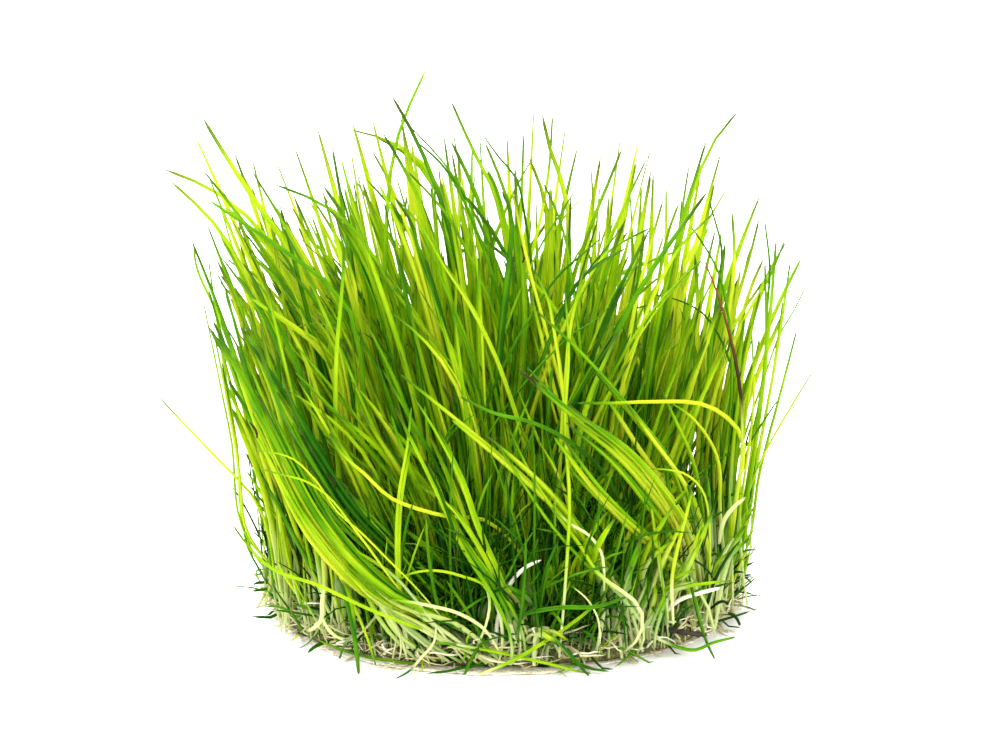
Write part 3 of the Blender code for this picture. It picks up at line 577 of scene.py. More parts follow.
tufts = sorted(name for name in frame["nodes"] if name.startswith("tuft_"))
front_lines = []
for number, name in enumerate(tufts):
    rng = np.random.default_rng(1000 + number)
    numbered = name[-1].isdigit()
    spines = leaf_spines(bpy.data.objects[name])
    foot = np.mean([spine[0] for spine, _ in spines], axis=0)
    reach = np.hypot(foot[0], foot[1])
    outward = np.array([foot[0], foot[1], 0]) / max(reach, 1e-6)
    along_rim = np.array([-outward[1], outward[0], 0])
    at_rim = np.clip((reach - RIM_START) / RIM_BAND, 0, 1)
    at_side = at_rim * abs(outward[0])
    at_back = np.clip(foot[1] / 0.02, -0.5, 1)
    stations = FINE_STATIONS if name in SPARSE_TUFTS else LEAF_STATIONS
    shares = tip_shares(stations, TIP_CROWDING)
    middles = [smooth_line(spine, stations) for spine, _ in spines]
    # Every thread as its line, the share of it that is kept, its width, its tone and how long its foot is
    threads = []
    for middle, (_, width) in zip(middles, spines):
        lone = set_by_tip(LONE_LEAVES, middle[-1])
        broad = set_by_tip(BROAD_LOCKS, middle[-1])
        if lone:
            threads.append((middle, 1.0, lone[0] / 1000, lone[1], None))
        elif broad:
            tone = np.linspace(*broad[3:], stations)
            threads += lock(middle, broad[0] / 1000, broad[1], rng, tone, TOWARDS_CAMERA, shade=broad[2])
        else:
            shared = bowed(middle, rng, 0.0010, 0.0018) if numbered else middle
            middle_tone = NUMBERED_TONE if numbered else LIME_TUFTS.get(name, NAMED_TONE)
            tone = rng.normal(middle_tone, 0.12 if numbered else 0.1)
            count = max(3, round(width / LEAVES_ABREAST))
            threads += lock(shared, 1.15 * width, count, rng, tone, outward + rng.normal(0, 0.5, 3),
                            0.58, 0.0010 if numbered else 0.0004)
    crowd = [middle for middle in middles if not set_by_tip(LONE_LEAVES, middle[-1])]
    for _ in range(SPARSE_TUFTS.get(name, LOOSE_LOCKS)):
        one, other = rng.choice(len(crowd), 2, replace=False)
        weight = rng.uniform(0, 0.8)
        # Some lean well across the others.
        wild = rng.choice((1.0, 2.2, 2.9), p=(0.6, 0.2, 0.2)) * (1 - 0.6 * at_side)
        line = bowed(crowd[one] * (1 - weight) + crowd[other] * weight, rng, 0.0022 * wild, 0.0034 * wild)
        line = line[: max(5, round(rng.uniform(0.66, 0.96) * stations))]
        # Those that would reach far out, or end lying level high up in the plug, aren't grown.
        end = line[-1] - line[-3]
        lies = line[-1, 2] > HIGH_UP and end[2] < 0.35 * norm(end)
        if lies or np.hypot(line[-1, 0], line[-1, 1]) > PLUG_REACH + PLUG_SPREAD * line[-1, 2]:
            continue
        count = rng.choice((1, 2, 3), p=(0.35, 0.35, 0.3))
        threads += lock(line, LEAVES_ABREAST * count, count, rng, rng.normal(0.56, 0.16), rng.normal(0, 1, 3))
    if name == "tuft_sweep_left":
        sweep = min(middles, key=lambda middle: norm(middle[-1] * 1000 - BROAD_LOCKS[0][0]))
        begin, end = np.array(FEET_FROM) / 1000
        for foot_number in range(SWEEP_FEET):
            start = begin + (end - begin) * (foot_number + rng.uniform(-0.3, 0.3)) / (SWEEP_FEET - 1)
            meet = np.array(FEET_MEET) / 1000 + rng.normal(0, (0.0014, 0.0003, 0.0011))
            belly = (start + meet) / 2 + rng.normal(0, (0.0008, 0.0003, 0.0006)) - (0, 0.0004, 0)
            rest = sweep[sweep[:, 2] > meet[2] + 0.006] + rng.normal(0, 0.0006, 3)
            line = smooth_line([start, belly, meet, *rest[:-1:2], rest[-1]], stations)
            threads.append((line, rng.uniform(0.35, 0.85), LEAF_WIDTH * rng.uniform(0.7, 1.0),
                            rng.normal(0.75, 0.15), norm(meet - start)))

    lines, widths, flats, marks = [], [], [], new_marks()
    for line, kept, width, tone, pale_foot in threads:
        dip = math.exp(-((line[-1, 0] - DIP_MIDDLE) / DIP_WIDTH) ** 2) if numbered and kept < 1 else 0
        kept *= 1 - DIP_DEPTH * dip
        line = smooth_line(line[: max(4, round(kept * len(line)))], stations, TIP_CROWDING)
        length = norm(np.diff(line, axis=0), axis=1).sum()
        if pale_foot is None:
            # Each leaf sets off from its own place in the felt, and at the mat's edge from the felt's side.
            start = along_rim * rng.normal(0, 0.0021) + outward * rng.normal(0.0012 * at_rim, 0.0011)
            start[2] = -0.0018 - 0.0016 * at_rim * rng.random()
            line = line + start * ((1 - shares) ** 3)[:, None]
            pale_foot = rng.uniform(0.001, 0.004) + 0.002 * at_rim + at_side * rng.uniform(0.0, 0.009)
        line[:, 2] = np.maximum(line[:, 2], 0.0004)
        lines.append(line)
        slender = np.interp(shares, (0.3, 0.6, 0.8, 1), (1, 1.25, 1.15, 0.6)) if numbered else 1.15
        widths.append(leaf_widths(width * (1 + 0.35 * max(at_back, 0)), shares) * slender)
        flats.append(rng.uniform(0.45, 0.75) if kept < 1 else 0.85)
        # Painted light: leaves are lighter the higher they reach, but for their tips, and at the back and the
        # sides. At the back the painted backlight also darkens their tips less.
        height = np.clip(line[:, 2] / 0.045, 0, 1.2) - 0.55
        tip_shade = rng.uniform(0.4, 1.0) * (1 - 0.4 * max(at_back, 0))
        tip_shade = tip_shade * np.clip((shares - 0.82) / 0.16, 0, 1)
        light = PAINTED_LIGHT_HIGH * height + PAINTED_BACKLIGHT * at_back + PAINTED_LIGHT_SIDE * at_side
        marks["tone"].append((tone + light) * (1 - tip_shade) + 0.15 * tip_shade)
        marks["pale"].append(np.clip(1.25 - length * shares / pale_foot, 0, 1) ** 0.7 * rng.uniform(0.45, 1))
        dry_tip = np.clip((shares - 0.87) / 0.11, 0, 1)
        marks["dry"].append(dry_tip * (rng.random() < 0.85) * rng.uniform(0.3, 0.9))
        marks["own"].append([40 * rng.random()])
    young = name in YELLOW_TUFTS
    piece = join_threads("leaves_of_" + name, lines, widths, flats, marks, young_leaf if young else wet_leaf,
                         corners=5, seed=number)
    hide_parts(name)
    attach(piece, "root")
    front_lines += lines


# Short leaves between the tufts
# New growth that fills the plug's foot: finer threads, 6 to 26 mm long, darker with painted shade, that cross
# each other in every direction in the tufts' shade. They come up from the felt all over the mat, most thickly
# in front.

# Each piece's side of the plug, as a bearing, and how many leaves it has
SHORT_LEAVES = {"short_leaves_front": (-math.pi / 2, 1350), "short_leaves_right": (0.0, 480),
                "short_leaves_back": (math.pi / 2, 420), "short_leaves_left": (math.pi, 480)}
SHORT_STATIONS = 9
SHORT_WIDTH = 0.00042
SHORT_REACH = 0.0343
SHORT_LENGTHS = (0.006, 0.027)
SHORT_FEET_REACH = 0.0312
MAT_SHOULDER = 0.0290
FEET_HEIGHT = 0.0026


def grown(foot, slope, droop, heading, swing, length, steps):
    """Threads that grow from their feet, each turning from its slope by droop and its heading by swing."""
    lines = [foot]
    for share in steps:
        tilt = slope + droop * share
        turn = heading + swing * share
        forward = np.stack([np.sin(tilt) * np.cos(turn), np.sin(tilt) * np.sin(turn), np.cos(tilt)], axis=1)
        lines.append(lines[-1] + forward * (length / len(steps))[:, None])
    return np.stack(lines, axis=1)


def kept_on_plug(lines, reach):
    """Threads drawn in towards their feet, each just enough to stay within its own reach from the middle."""
    for share in (0.85, 0.7, 0.55, 0.4, 0.25, 0.1):
        over = (np.hypot(lines[:, :, 0], lines[:, :, 1]).max(axis=1) > reach)[:, None, None]
        drawn = lines[:, :1] + (lines - lines[:, :1]) * (share, share, 1)
        lines = np.where(over, drawn, lines)
    return lines


# The same wet leaf tissue, but deep green from foot to tip: painted shade for the growth under the tufts.
painted_shade_leaf = leaf_material("painted_shade_wet_leaf", (
    (0.0, "#143E02"), (0.3, "#286404"), (0.6, "#508C08"), (1.0, "#98BC1C")))

shares = np.linspace(0, 1, SHORT_STATIONS)
for number, (name, (side_bearing, count)) in enumerate(SHORT_LEAVES.items()):
    rng = np.random.default_rng(2000 + number)
    bearing = side_bearing + rng.uniform(-math.pi / 4, math.pi / 4, count)
    reach = SHORT_FEET_REACH * np.sqrt(rng.uniform(0.12, 1, count))
    on_side = rng.uniform(0.0004, FEET_HEIGHT, count)
    foot = set_round(reach, bearing, np.where(reach > MAT_SHOULDER, on_side, FEET_HEIGHT))
    heading = rng.uniform(0, math.tau, count)
    slope = np.clip(np.abs(rng.normal(0.65, 0.5, count)), 0.05, 1.5)
    length = rng.uniform(*SHORT_LENGTHS, count) * (1.1 - 0.3 * slope)
    droop = rng.normal(0.35, 0.7, count)
    swing = rng.normal(0, 1.1, count)
    lines = grown(foot, slope, droop, heading, swing, length, np.arange(SHORT_STATIONS - 1) / SHORT_STATIONS)
    lines = kept_on_plug(lines, SHORT_REACH + rng.exponential(0.0008, count).clip(0, 0.003))
    lines[:, :, 2] = np.maximum(lines[:, :, 2], 0.0006)
    widths = leaf_widths(1, shares)[None] * (SHORT_WIDTH * rng.uniform(0.55, 1.3, count))[:, None]
    marks = {"tone": np.clip(rng.normal(0.36, 0.24, count), 0, 1)[:, None]}
    pale_foot = rng.uniform(0.0005, 0.004, count)[:, None]
    marks["pale"] = np.clip(1.1 - length[:, None] * shares / pale_foot, 0, 1)
    marks["dry"] = (rng.random(count) < 0.03)[:, None] * np.clip(shares * 1.5, 0, 0.8)
    marks["own"] = 40 * rng.random(count)[:, None]
    # The short leaves take the darker leaf material, which is painted shade.
    piece = join_threads(name, lines, widths, rng.uniform(0.5, 0.8, count), marks, painted_shade_leaf,
                         corners=5, seed=50 + number)
    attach(piece, "root")


# Stems round the rim
# Along the mat's edge the cup's wall has held the leaves' feet in the dark, so they are pale, round stems 0.2
# to 0.5 mm thick. They stand upright at the sides and lie over to the left at the front, with gaps between.

RIM_STEMS = 290
THICK_BEARING = math.radians(247)

rng = np.random.default_rng(61)
bearing = rng.uniform(0, math.tau, 4 * RIM_STEMS)
share_kept = np.where(np.sin(bearing) > 0, 0.6, 0.14) + 0.5 * np.abs(np.cos(bearing)) ** 2
share_kept += 0.4 * np.exp(-((bearing - THICK_BEARING) / 0.35) ** 2)
bearing = bearing[rng.random(4 * RIM_STEMS) < share_kept][:RIM_STEMS]
side_share = np.abs(np.cos(bearing))
front_share = np.clip(-np.sin(bearing), 0, 1) ** 2
foot = set_round(rng.uniform(0.0296, 0.0324, RIM_STEMS), bearing, rng.uniform(0.0004, 0.0034, RIM_STEMS))
length = rng.uniform(0.005, 0.012, RIM_STEMS) + side_share * rng.uniform(0.0, 0.013, RIM_STEMS)
heading = bearing + rng.normal(0, 1.2, RIM_STEMS)
slope = np.abs(rng.normal(0.0, 0.3, RIM_STEMS)) + front_share * rng.uniform(0.2, 1.2, RIM_STEMS)
lying = rng.random(RIM_STEMS) < 0.7 * front_share
heading = np.where(lying, math.pi + rng.normal(0, 0.5, RIM_STEMS), heading)
droop = rng.normal(0.0, 0.55, RIM_STEMS)
swing = rng.normal(0.0, 0.9, RIM_STEMS)
lines = kept_on_plug(grown(foot, slope, droop, heading, swing, length, shares[1:]), SHORT_REACH)
lines[:, :, 2] = np.maximum(lines[:, :, 2], 0.0004)
widths = leaf_widths(1, shares)[None] * rng.uniform(0.0002, 0.00045, RIM_STEMS)[:, None]
pale = np.clip(1.1 - shares[None] * rng.uniform(1.2, 3.0, RIM_STEMS)[:, None], 0, 0.9)
flats = rng.uniform(0.7, 1.0, RIM_STEMS)
marks = {"tone": rng.normal(0.5, 0.2, RIM_STEMS)[:, None], "pale": pale, "dry": 0,
         "own": 40 * rng.random(RIM_STEMS)[:, None]}
rim_stems = join_threads("rim_stems", lines, widths, flats, marks, wet_leaf, seed=62)
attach(rim_stems, "root")


# Strays at the front
# Single leaves and stems that fall out of the front over the short growth, some down to the ground, and one
# that loops back on itself. Each is given point by point, from its foot on.

# Width, how much of it is pale from its foot, tone, and points, in millimetres
STRAYS = (
    (0.58, 0, 0.85, (-24.5, -24.5, 20), (-22.4, -27, 15.6), (-20.5, -28.5, 11.7), (-18.6, -29.8, 7.9),
     (-17.1, -31, 4.4), (-16, -31.8, 1)),
    (0.5, 0.7, 0.1, (-8.4, -31.6, 6.4), (-8.6, -32.5, 4.5), (-10.2, -33.2, 2.6), (-11.8, -34, 1),
     (-13.4, -35.2, 0.4)),
    (0.55, 0.35, 0.75, (-3.4, -31.4, 3), (-1.8, -32.8, 7.9), (-1.6, -33, 10), (-2.2, -33, 11.9),
     (-4.8, -32.5, 12.9), (-8.4, -32, 13.6), (-12, -31.5, 12.9), (-13.7, -31, 11.7)),
    (0.6, 0.2, 0.5, (-8, -31.5, 4.2), (-1.6, -32.6, 3.3), (2.5, -33, 2.5), (6.8, -33.5, 1.6), (9.3, -33.8, 1),
     (11.2, -34, 0.7)),
    (0.55, 0.1, 0.6, (-2.8, -33.6, 0.5), (1, -33.5, 2.1), (5.4, -32.6, 4.5), (9.2, -31.6, 6.9),
     (12.4, -30.5, 9.2)),
    (0.42, 0.75, 0.6, (12.9, -30.2, 10.5), (12.8, -30.8, 13.7), (12.5, -30.8, 15.6), (11.1, -30.4, 17.6),
     (8.6, -29, 18.9), (5.2, -27, 21.5)),
    (0.52, 0.34, 0.6, (15.6, -29.2, 2.2), (17.4, -30.6, 4.6), (17.8, -31, 6.8), (17.4, -31.2, 8.6),
     (16, -31.4, 10.1), (13.7, -31.4, 11.7), (11.7, -31, 13.4), (10.2, -30, 15.8), (8.2, -28.6, 18.2),
     (4, -26.5, 24), (0.5, -25, 31)),
    (0.5, 0, 0.1, (24, -22.8, 10.5), (24.7, -24, 7.4), (25.3, -25, 5.2), (26.2, -26, 2.5),
     (27.2, -26.8, 0.5)),
    (0.5, 0.15, 0.3, (19.5, -27, 3.4), (22.6, -27, 2.1), (24.6, -26.8, 1.7), (27, -26.2, 2.5),
     (29.9, -25, 2.9)),
    (0.62, 0.4, 0.7, (21.2, -24.7, 4), (21.1, -25, 7.2), (20.6, -25, 9.6), (20, -24.6, 13),
     (19.5, -23.6, 16.8), (18.5, -22.5, 23)),
    (0.62, 1, 0.5, (28.4, -12.6, 12), (29.1, -12.8, 15.4), (30.2, -12.6, 16.9), (31.9, -12, 18.2)),
    (0.45, 0.2, 0.65, (7.2, -32.2, 2.3), (8, -31.5, 12.6), (8.5, -28.5, 21), (8, -23.5, 31), (8.5, -19, 39.6),
     (8, -16, 47)),
    (0.5, 0, 0.95, (4, -22, 8), (1.5, -24.5, 15), (-2.8, -27, 19.1), (-6.2, -29.5, 19.9),
     (-10.6, -30.8, 21.3), (-14, -30.8, 22.7), (-17.4, -30, 25.7), (-20.5, -28.5, 28.2), (-22, -27, 30.5)),
    (0.36, 0.1, 0.85, (-7, -31.4, 6.5), (-11, -32, 11.5), (-14.8, -32.5, 15.6), (-18, -32.8, 19),
     (-20.4, -33.4, 21.3), (-23.5, -34, 26), (-26.3, -34.2, 28.7), (-28.6, -34.2, 29.4),
     (-30.9, -33.6, 29.5)),
    (0.36, 0.1, 0.85, (-8, -30.8, 5), (-13, -31.5, 11), (-18, -33, 18.5), (-22.8, -34, 24.6),
     (-24.7, -34.2, 25.8), (-27.5, -34, 26.5), (-30, -33.2, 27)),
    (0.85, 0.2, 0.7, (-12, -30.5, 3), (-12.8, -31, 8), (-13.2, -31, 13.8), (-13.2, -30.5, 18.3),
     (-12.8, -29.5, 23.3), (-11.8, -27.5, 28.6), (-11.3, -25, 33.2)),
    (0.8, 0.2, 0.65, (2.4, -31, 2.5), (0.6, -32, 10.2), (-1.1, -31.8, 14.6), (-3.1, -31, 19),
     (-5, -29.5, 24.4), (-8.1, -27.5, 30.3), (-11.3, -25.5, 35.1)),
    (0.7, 0.3, 0.7, (1.7, -32, 4.1), (0, -32.2, 10), (-1.9, -32, 14.6), (-4.2, -31.2, 18.5), (-7, -30.3, 22),
     (-9.8, -29.5, 23.8)),
    (0.42, 0.2, 0.8, (27, -17, 3), (26.9, -18.5, 10), (26.6, -19.5, 17.7), (26.2, -20, 20),
     (25.1, -20.5, 22.1), (23.2, -21, 23.6), (20.7, -21.5, 24.2), (18.2, -22, 24.4)),
    (0.5, 0.3, 0.85, (21.9, -26, 4.9), (21.7, -25.5, 10.9), (22.5, -25, 15.2), (23.5, -24, 18.8),
     (24.3, -23, 21.7)),
    (0.65, 0, 0.1, (17, -18, 10), (15, -20, 20), (12, -22, 25), (9.1, -24, 28), (6.6, -26, 30.1),
     (3.5, -27, 31.7), (-1.1, -26, 32.6), (-5.4, -24, 34.3)),
    (0.35, 0.9, 0.6, (12.4, -31.5, 3.9), (12, -31.8, 7.5), (10.6, -31.8, 9.9), (8.7, -31.5, 11.5)),
    (0.5, 0, 0.15, (-6, -32, 7.5), (-3.8, -32.5, 9.3), (-1.4, -32, 10.7), (0.5, -31.5, 12.5),
     (1.7, -31, 14.9), (4.1, -30, 18.4)),
    (0.45, 0.8, 0.6, (-0.2, -32.5, 2.8), (-2.3, -32.8, 6.2), (-5.3, -33, 8.2), (-9.6, -33, 9.4),
     (-14.5, -32.5, 10.1)),
    (0.58, 0.3, 0.6, (2, -31.2, 1.6), (2.3, -31.9, 4), (2, -32, 6.8), (0.7, -31.9, 10), (-1.6, -30.6, 15.4),
     (-4.1, -28.4, 21), (-8, -26, 30)),
    (0.55, 0.35, 0.7, (-0.5, -31.6, 1.2), (0, -32.2, 4), (-0.2, -32.3, 7.3), (-1.6, -31.6, 11.3),
     (-3.2, -30.2, 15.6), (-6.5, -28, 24)),
    (0.6, 0, 0.1, (0.5, -31.8, 6.9), (3.1, -32.4, 8.1), (7.4, -32.8, 9), (11.9, -32.4, 9),
     (15.6, -31.2, 9.9)),
    (0.6, 1, 0.4, (-22.6, -28, 10.6), (-22.9, -28.8, 8.6), (-23.1, -29.4, 6.3), (-24, -29.6, 5.4),
     (-24.9, -29.6, 4.9)),
    (0.5, 1, 0.4, (-23, -29.3, 7), (-22.4, -29.8, 5.8), (-21.4, -30.2, 4.7), (-20, -30.4, 4)),
)
STRAY_STATIONS = 24
# A leaf broader than this is made as two that cling together, and the second ends this many stations sooner.
BROAD_LEAF = 0.65
SECOND_SHORTER = 6


def leaves_by_hand(name, table, material, seed):
    """One piece of leaves that are listed point by point."""
    shares = tip_shares(STRAY_STATIONS, TIP_CROWDING)
    rng = np.random.default_rng(seed)
    lines, widths, marks = [], [], new_marks()
    for width, pale_share, tone, *points in table:
        for aside in (-0.28, 0.28) if width > BROAD_LEAF else (0,):
            shifted = points + np.outer(np.linspace(0.4, 1, len(points)), (aside * width, 0, 0))
            line = smooth_line(shifted / 1000, STRAY_STATIONS, TIP_CROWDING)
            if aside > 0:
                line = smooth_line(line[:-SECOND_SHORTER], STRAY_STATIONS, TIP_CROWDING)
            lines.append(line)
            widths.append(leaf_widths(width * (0.75 if aside else 1) / 1000, shares))
            tip_shade = 0.8 * np.clip((shares - 0.8) / 0.2, 0, 1)
            marks["tone"].append((tone - 0.3 * max(aside, 0)) * (1 - tip_shade) + 0.1 * tip_shade)
            marks["pale"].append(0.85 * np.clip((pale_share - shares) / 0.15 + 0.5, 0, 1) * (pale_share > 0))
            marks["dry"].append(0.5 * np.clip((shares - 0.9) / 0.1, 0, 1))
            marks["own"].append([40 * rng.random()])
    return join_threads(name, lines, widths, 0.7, marks, material, corners=8, seed=seed)


front_strays = leaves_by_hand("front_strays", STRAYS, young_leaf, 71)
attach(front_strays, "root")


# Single leaves above the crowd
# Leaves that stand out against the others in the plug's upper half: they cross, or lean over, and some are
# old and deep green where their neighbours are lime. The last rows are the plug's left and right edges.

MAT_TOP = 2.8
# Width, tone, where the foot stands on the mat (x and y), and points, in millimetres
HIGH_LEAVES = (
    (0.56, 0.7, (-26.8, -3), (-36.7, -4, 38.8), (-38, -2, 41.4), (-40.6, 0, 47), (-41, 2, 49.6)),
    (0.56, 0.15, (-25.2, -10), (-34.9, -12, 42.1), (-35.9, -10, 45.3), (-37.3, -8, 47.4)),
    (0.38, 0.15, (-14.4, -11), (-25.7, -12, 42.5), (-27.7, -12, 45.9), (-33.2, -10, 51.5),
     (-34.4, -10, 54.1)),
    (0.75, 0.05, (-17, -19), (-28.4, -20, 42.4), (-29.9, -19, 44.9), (-31.3, -19, 48.2), (-33, -18, 50.6)),
    (0.5, 0.1, (-9.7, -7), (-16.9, -8, 44.6), (-19.2, -7, 51), (-20, -7, 54.1), (-21.7, -6, 60.4)),
    (0.38, 0.25, (-7.9, -9), (-18.5, -10, 48.9), (-19.9, -9, 51.8), (-21.8, -7, 54.8), (-23.6, -6, 57.9)),
    (0.62, 0.65, (-19.8, -18), (-20.9, -22, 41.9), (-20.6, -21, 45), (-20.2, -21, 49.7), (-20.1, -20, 53.3)),
    (0.69, 0.1, (-7.7, -14), (-12.4, -15, 45.7), (-13.2, -14, 49.2), (-14.5, -13, 55), (-15.1, -12, 57.5)),
    (1, 0.05, (-2.1, -14), (-8.9, -15, 46.6), (-10.8, -14, 52.5), (-11.3, -13, 54.4), (-13.6, -12, 58)),
    (0.75, 0.85, (8.9, -17), (-4.6, -18, 45.8), (-8, -17, 51), (-9.7, -16, 54.1), (-13.3, -15, 58.3)),
    (0.62, 0.4, (7.7, -8), (-4.1, -9, 49.3), (-7.3, -9, 55.3), (-9.2, -9, 57.6), (-12.3, -9, 60.9)),
    (0.56, 0.25, (10, -5), (-2.9, -6, 53.3), (-5.8, -5, 58.7), (-7.3, -5, 60.9), (-12, -4, 66)),
    (0.5, 0.25, (7.9, -5), (-4.7, -6, 55.8), (-6, -5, 58.4), (-8.1, -4, 61.2), (-11, -3, 63.7)),
    (1.2, 0.75, (6.4, 9), (0.5, 8, 49.5), (-1.2, 10, 55.9), (-3, 12, 59.1), (-6.6, 14, 66.9)),
    (0.56, 0.9, (-1.5, -14), (-2.9, -15, 45.2), (-3.1, -14, 48.1), (-4.2, -13, 54.4), (-5.1, -12, 57.2)),
    (0.5, 0.1, (7.2, -4), (2.7, -5, 55.8), (2.2, -5, 58.6), (-0.8, -4, 62.4), (-2.6, -4, 65)),
    (1.1, 0.15, (-2.2, -13), (0.5, -14, 45.7), (1.1, -14, 50.2), (1.1, -12, 56.8), (0.2, -12, 58.8)),
    (0.62, 0.85, (-2.6, -3), (3.1, -4, 46.2), (5.1, -1, 53.5), (6.2, 3, 59.4), (6.7, 6, 66.2)),
    (0.56, 0.3, (12.6, -8), (8.8, -9, 48.5), (8.3, -8, 51.4), (6.5, -7, 56.6), (5.2, -6, 59.1)),
    (0.44, 0.2, (-8.1, -8), (3.5, -9, 47.9), (5.7, -7, 52), (7.3, -7, 54.5), (9.8, -5, 58.2)),
    (0.62, 0.05, (-2.8, -14), (7.4, -15, 42.7), (9.9, -14, 47.4), (12.5, -13, 49.5), (16, -12, 51.3)),
    (0.44, 0.1, (-9, -11), (11.3, -12, 48.7), (12.6, -11, 50.1), (14.2, -10, 51.9), (15.4, -9, 53.6)),
    (0.56, 0.1, (-11, -14), (4.3, -15, 44), (7.7, -13, 48.4), (9.9, -13, 50.3), (13, -11, 52.7)),
    (0.69, 0.95, (-2.6, -7), (9.9, -8, 43.7), (13.2, -6, 48.9), (14.7, -4, 49.9), (19.8, -2, 52.3)),
    (0.56, 0.9, (10.3, -17), (6.5, -18, 42.4), (5.9, -17, 45.4), (5, -16, 47.3), (4.1, -15, 49)),
    (0.56, 0.95, (6.6, -17), (8.3, -18, 37.9), (8.6, -17, 40.9), (9.9, -15, 46.6), (10.6, -14, 49.3)),
    (0.44, 0.05, (-15.3, -15), (7.4, -16, 39.3), (9.2, -15, 40.7), (11.8, -15, 42.3), (14.1, -14, 44.3)),
    (0.62, 0.9, (10.4, -7), (17.6, -8, 38.4), (20.9, -6, 46.3), (23, -5, 49.8), (27.7, -3, 54.4)),
    (0.44, 0.1, (27, -1), (28.3, -2, 38.5), (27, -1, 40.2), (22.3, 1, 42.3), (20.2, 2, 42.5)),
    (0.44, 0.6, (26.9, 3), (35.6, 2, 32.9), (37, 3, 36.6), (39.3, 5, 40.1), (40.9, 6, 43.2)),
    (0.44, 0.15, (25.3, -2), (28.6, -3, 46), (29, -2, 48.5), (27.8, -1, 53.9), (27.3, 0, 55.6)),
    (0.5, 0.2, (26.8, -3), (29.4, -5, 42.9), (28.6, -4, 46.2), (26.2, -4, 50.7), (24.7, -3, 52.7)),
    (0.5, 0.6, (-26.7, -4), (-34.4, -6, 12.2), (-35.9, -5, 24.3), (-37, -5, 30.4), (-39.4, -4, 42.9)),
    (0.55, 0.85, (-26.3, -6), (-34, -9, 13.7), (-34.5, -9, 19.8), (-36.6, -8, 33), (-37.8, -8, 39.7)),
    (0.5, 0.3, (-30.4, -3), (-34.1, -4, 9.6), (-34.7, -4, 15.8), (-36.2, -2, 27.7), (-37.2, -2, 34.2)),
    (0.55, 0.7, (-30.5, 1), (-34.1, 0, 8.6), (-35.6, 1, 22.2), (-37.6, 1, 35.9), (-39.1, 2, 47.5)),
    (0.5, 0.75, (30.3, 1), (30.8, 0, 5.1), (33.6, 1, 17.4), (36.9, 1, 36.6), (38.3, 2, 46.9)),
    (0.6, 0.6, (29.9, -2), (30.3, -3, 4.5), (32.8, -3, 17), (35.2, -2, 37.2), (36.1, -2, 50.6)),
    (0.6, 0.85, (30.5, -1), (31.5, -2, 9.1), (33.4, -1, 22), (35, -1, 35.6), (34.8, 0, 47.3)),
    (0.45, 0.5, (30.4, 3), (32.4, 2, 6), (34.8, 3, 18.3), (37.3, 3, 28.6), (39.5, 4, 37.3)),
    (0.55, 0.9, (30.2, -4), (30.8, -5, 7.8), (32.1, -5, 18.8), (33.3, -4, 29.5), (32.9, -4, 38.9)),
    (0.5, 0.65, (30.4, 2), (32.2, 1, 7.6), (34.4, 2, 19.9), (36.1, 2, 30.9), (37.5, 3, 41.6)),
    (0.45, 0.1, (19.5, -6), (29.3, -5, 22.1), (32.2, -4, 23.1), (34.6, -4, 26.5), (36.5, -3, 29.2)),
    (0.65, 0.95, (22.7, -1), (30.6, -2, 36.5), (33.1, -1, 41.7), (34.9, 0, 44.2), (37.5, 1, 50.1)),
    (0.5, 0.35, (27, -2), (34.8, -3, 34), (35.1, -2, 42.6), (35.4, -1, 45.7), (34.7, 0, 52.9)),
)
rooted = [(width, 0, tone, (*foot, MAT_TOP), *points) for width, tone, foot, *points in HIGH_LEAVES]
high_leaves = leaves_by_hand("high_leaves", rooted, wet_leaf, 74)
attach(high_leaves, "root")


# White runners
# Side shoots that creep or arch from one plantlet to the next: round, smooth and waxy, with no green in them
# yet, about 0.5 mm thick.

# Width and points, in millimetres
RUNNERS = {
    "runner_front": (0.60, ((-0.9, -29.9, 3.0), (-0.6, -30.4, 6.5), (0.2, -30.5, 9.6), (1.5, -30.5, 12.2),
                            (3.2, -30.5, 13.8), (5.0, -30.4, 14.6))),
    "runner_right": (0.60, ((20.7, -21.4, 3.0), (21.3, -21.9, 5.6), (22.8, -22.4, 7.1), (25.5, -21.5, 7.8),
                            (28.3, -19.3, 7.9))),
    "runner_back": (0.55, ((-9.5, 27.4, 3.0), (-6.6, 29.0, 5.7), (-2.5, 29.6, 6.1), (1.4, 28.9, 3.0))),
    "runner_left": (0.55, ((-29.0, 2.6, 3.0), (-30.0, 5.6, 5.6), (-29.4, 9.2, 5.9), (-27.2, 12.4, 3.0))),
}
RUNNER_STATIONS = 24

# Blanched stem, waxy white: smooth, with a soft sheen, and a little light passes through.
white_stem = wet_thread_material(
    "white_stem", ((0.0, "#D9D3AE"), (0.5, "#EFECD6"), (1.0, "#FBFAF1")), 0.35, 0.02)

shares = np.linspace(0, 1, RUNNER_STATIONS)
for number, (name, (width, points)) in enumerate(RUNNERS.items()):
    line = smooth_line(np.array(points) / 1000, RUNNER_STATIONS)
    widths = width / 1000 * np.interp(shares, (0, 0.8, 0.96, 1), (1, 0.9, 0.6, 0.3))
    piece = join_threads("white_" + name, [line], [widths], 1, {"tone": 0.7 - 0.3 * shares}, white_stem,
                         corners=12, seed=number)
    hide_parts(name)
    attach(piece, "root")


# The dead leaf
# One leaf at the right that has died from its tip down: its upper half is a thin, twisted, reddish-brown
# thread, and its foot is still yellow-green.

DEAD_LEAF = ((28.6, -10.2, 2.8), (30.0, -11.5, 14), (31.2, -12.5, 24), (31, -12.8, 32), (29.6, -12.2, 39.5),
             (27.4, -11, 46.5), (25.8, -10, 50.2))
DEAD_LEAF_WIDTH = 0.00042

# Dead leaf, dry: it has lost its water film, so it is dull, and it is darker where it is thickest.
dead_leaf_fibre = wet_thread_material("dead_leaf_fibre", (
    (0.1, "#A6B43C"), (0.3, "#6E7422"), (0.4, "#2A1C08"), (0.6, "#3C200A"), (1.0, "#96501E")), 0.7, 0.05)

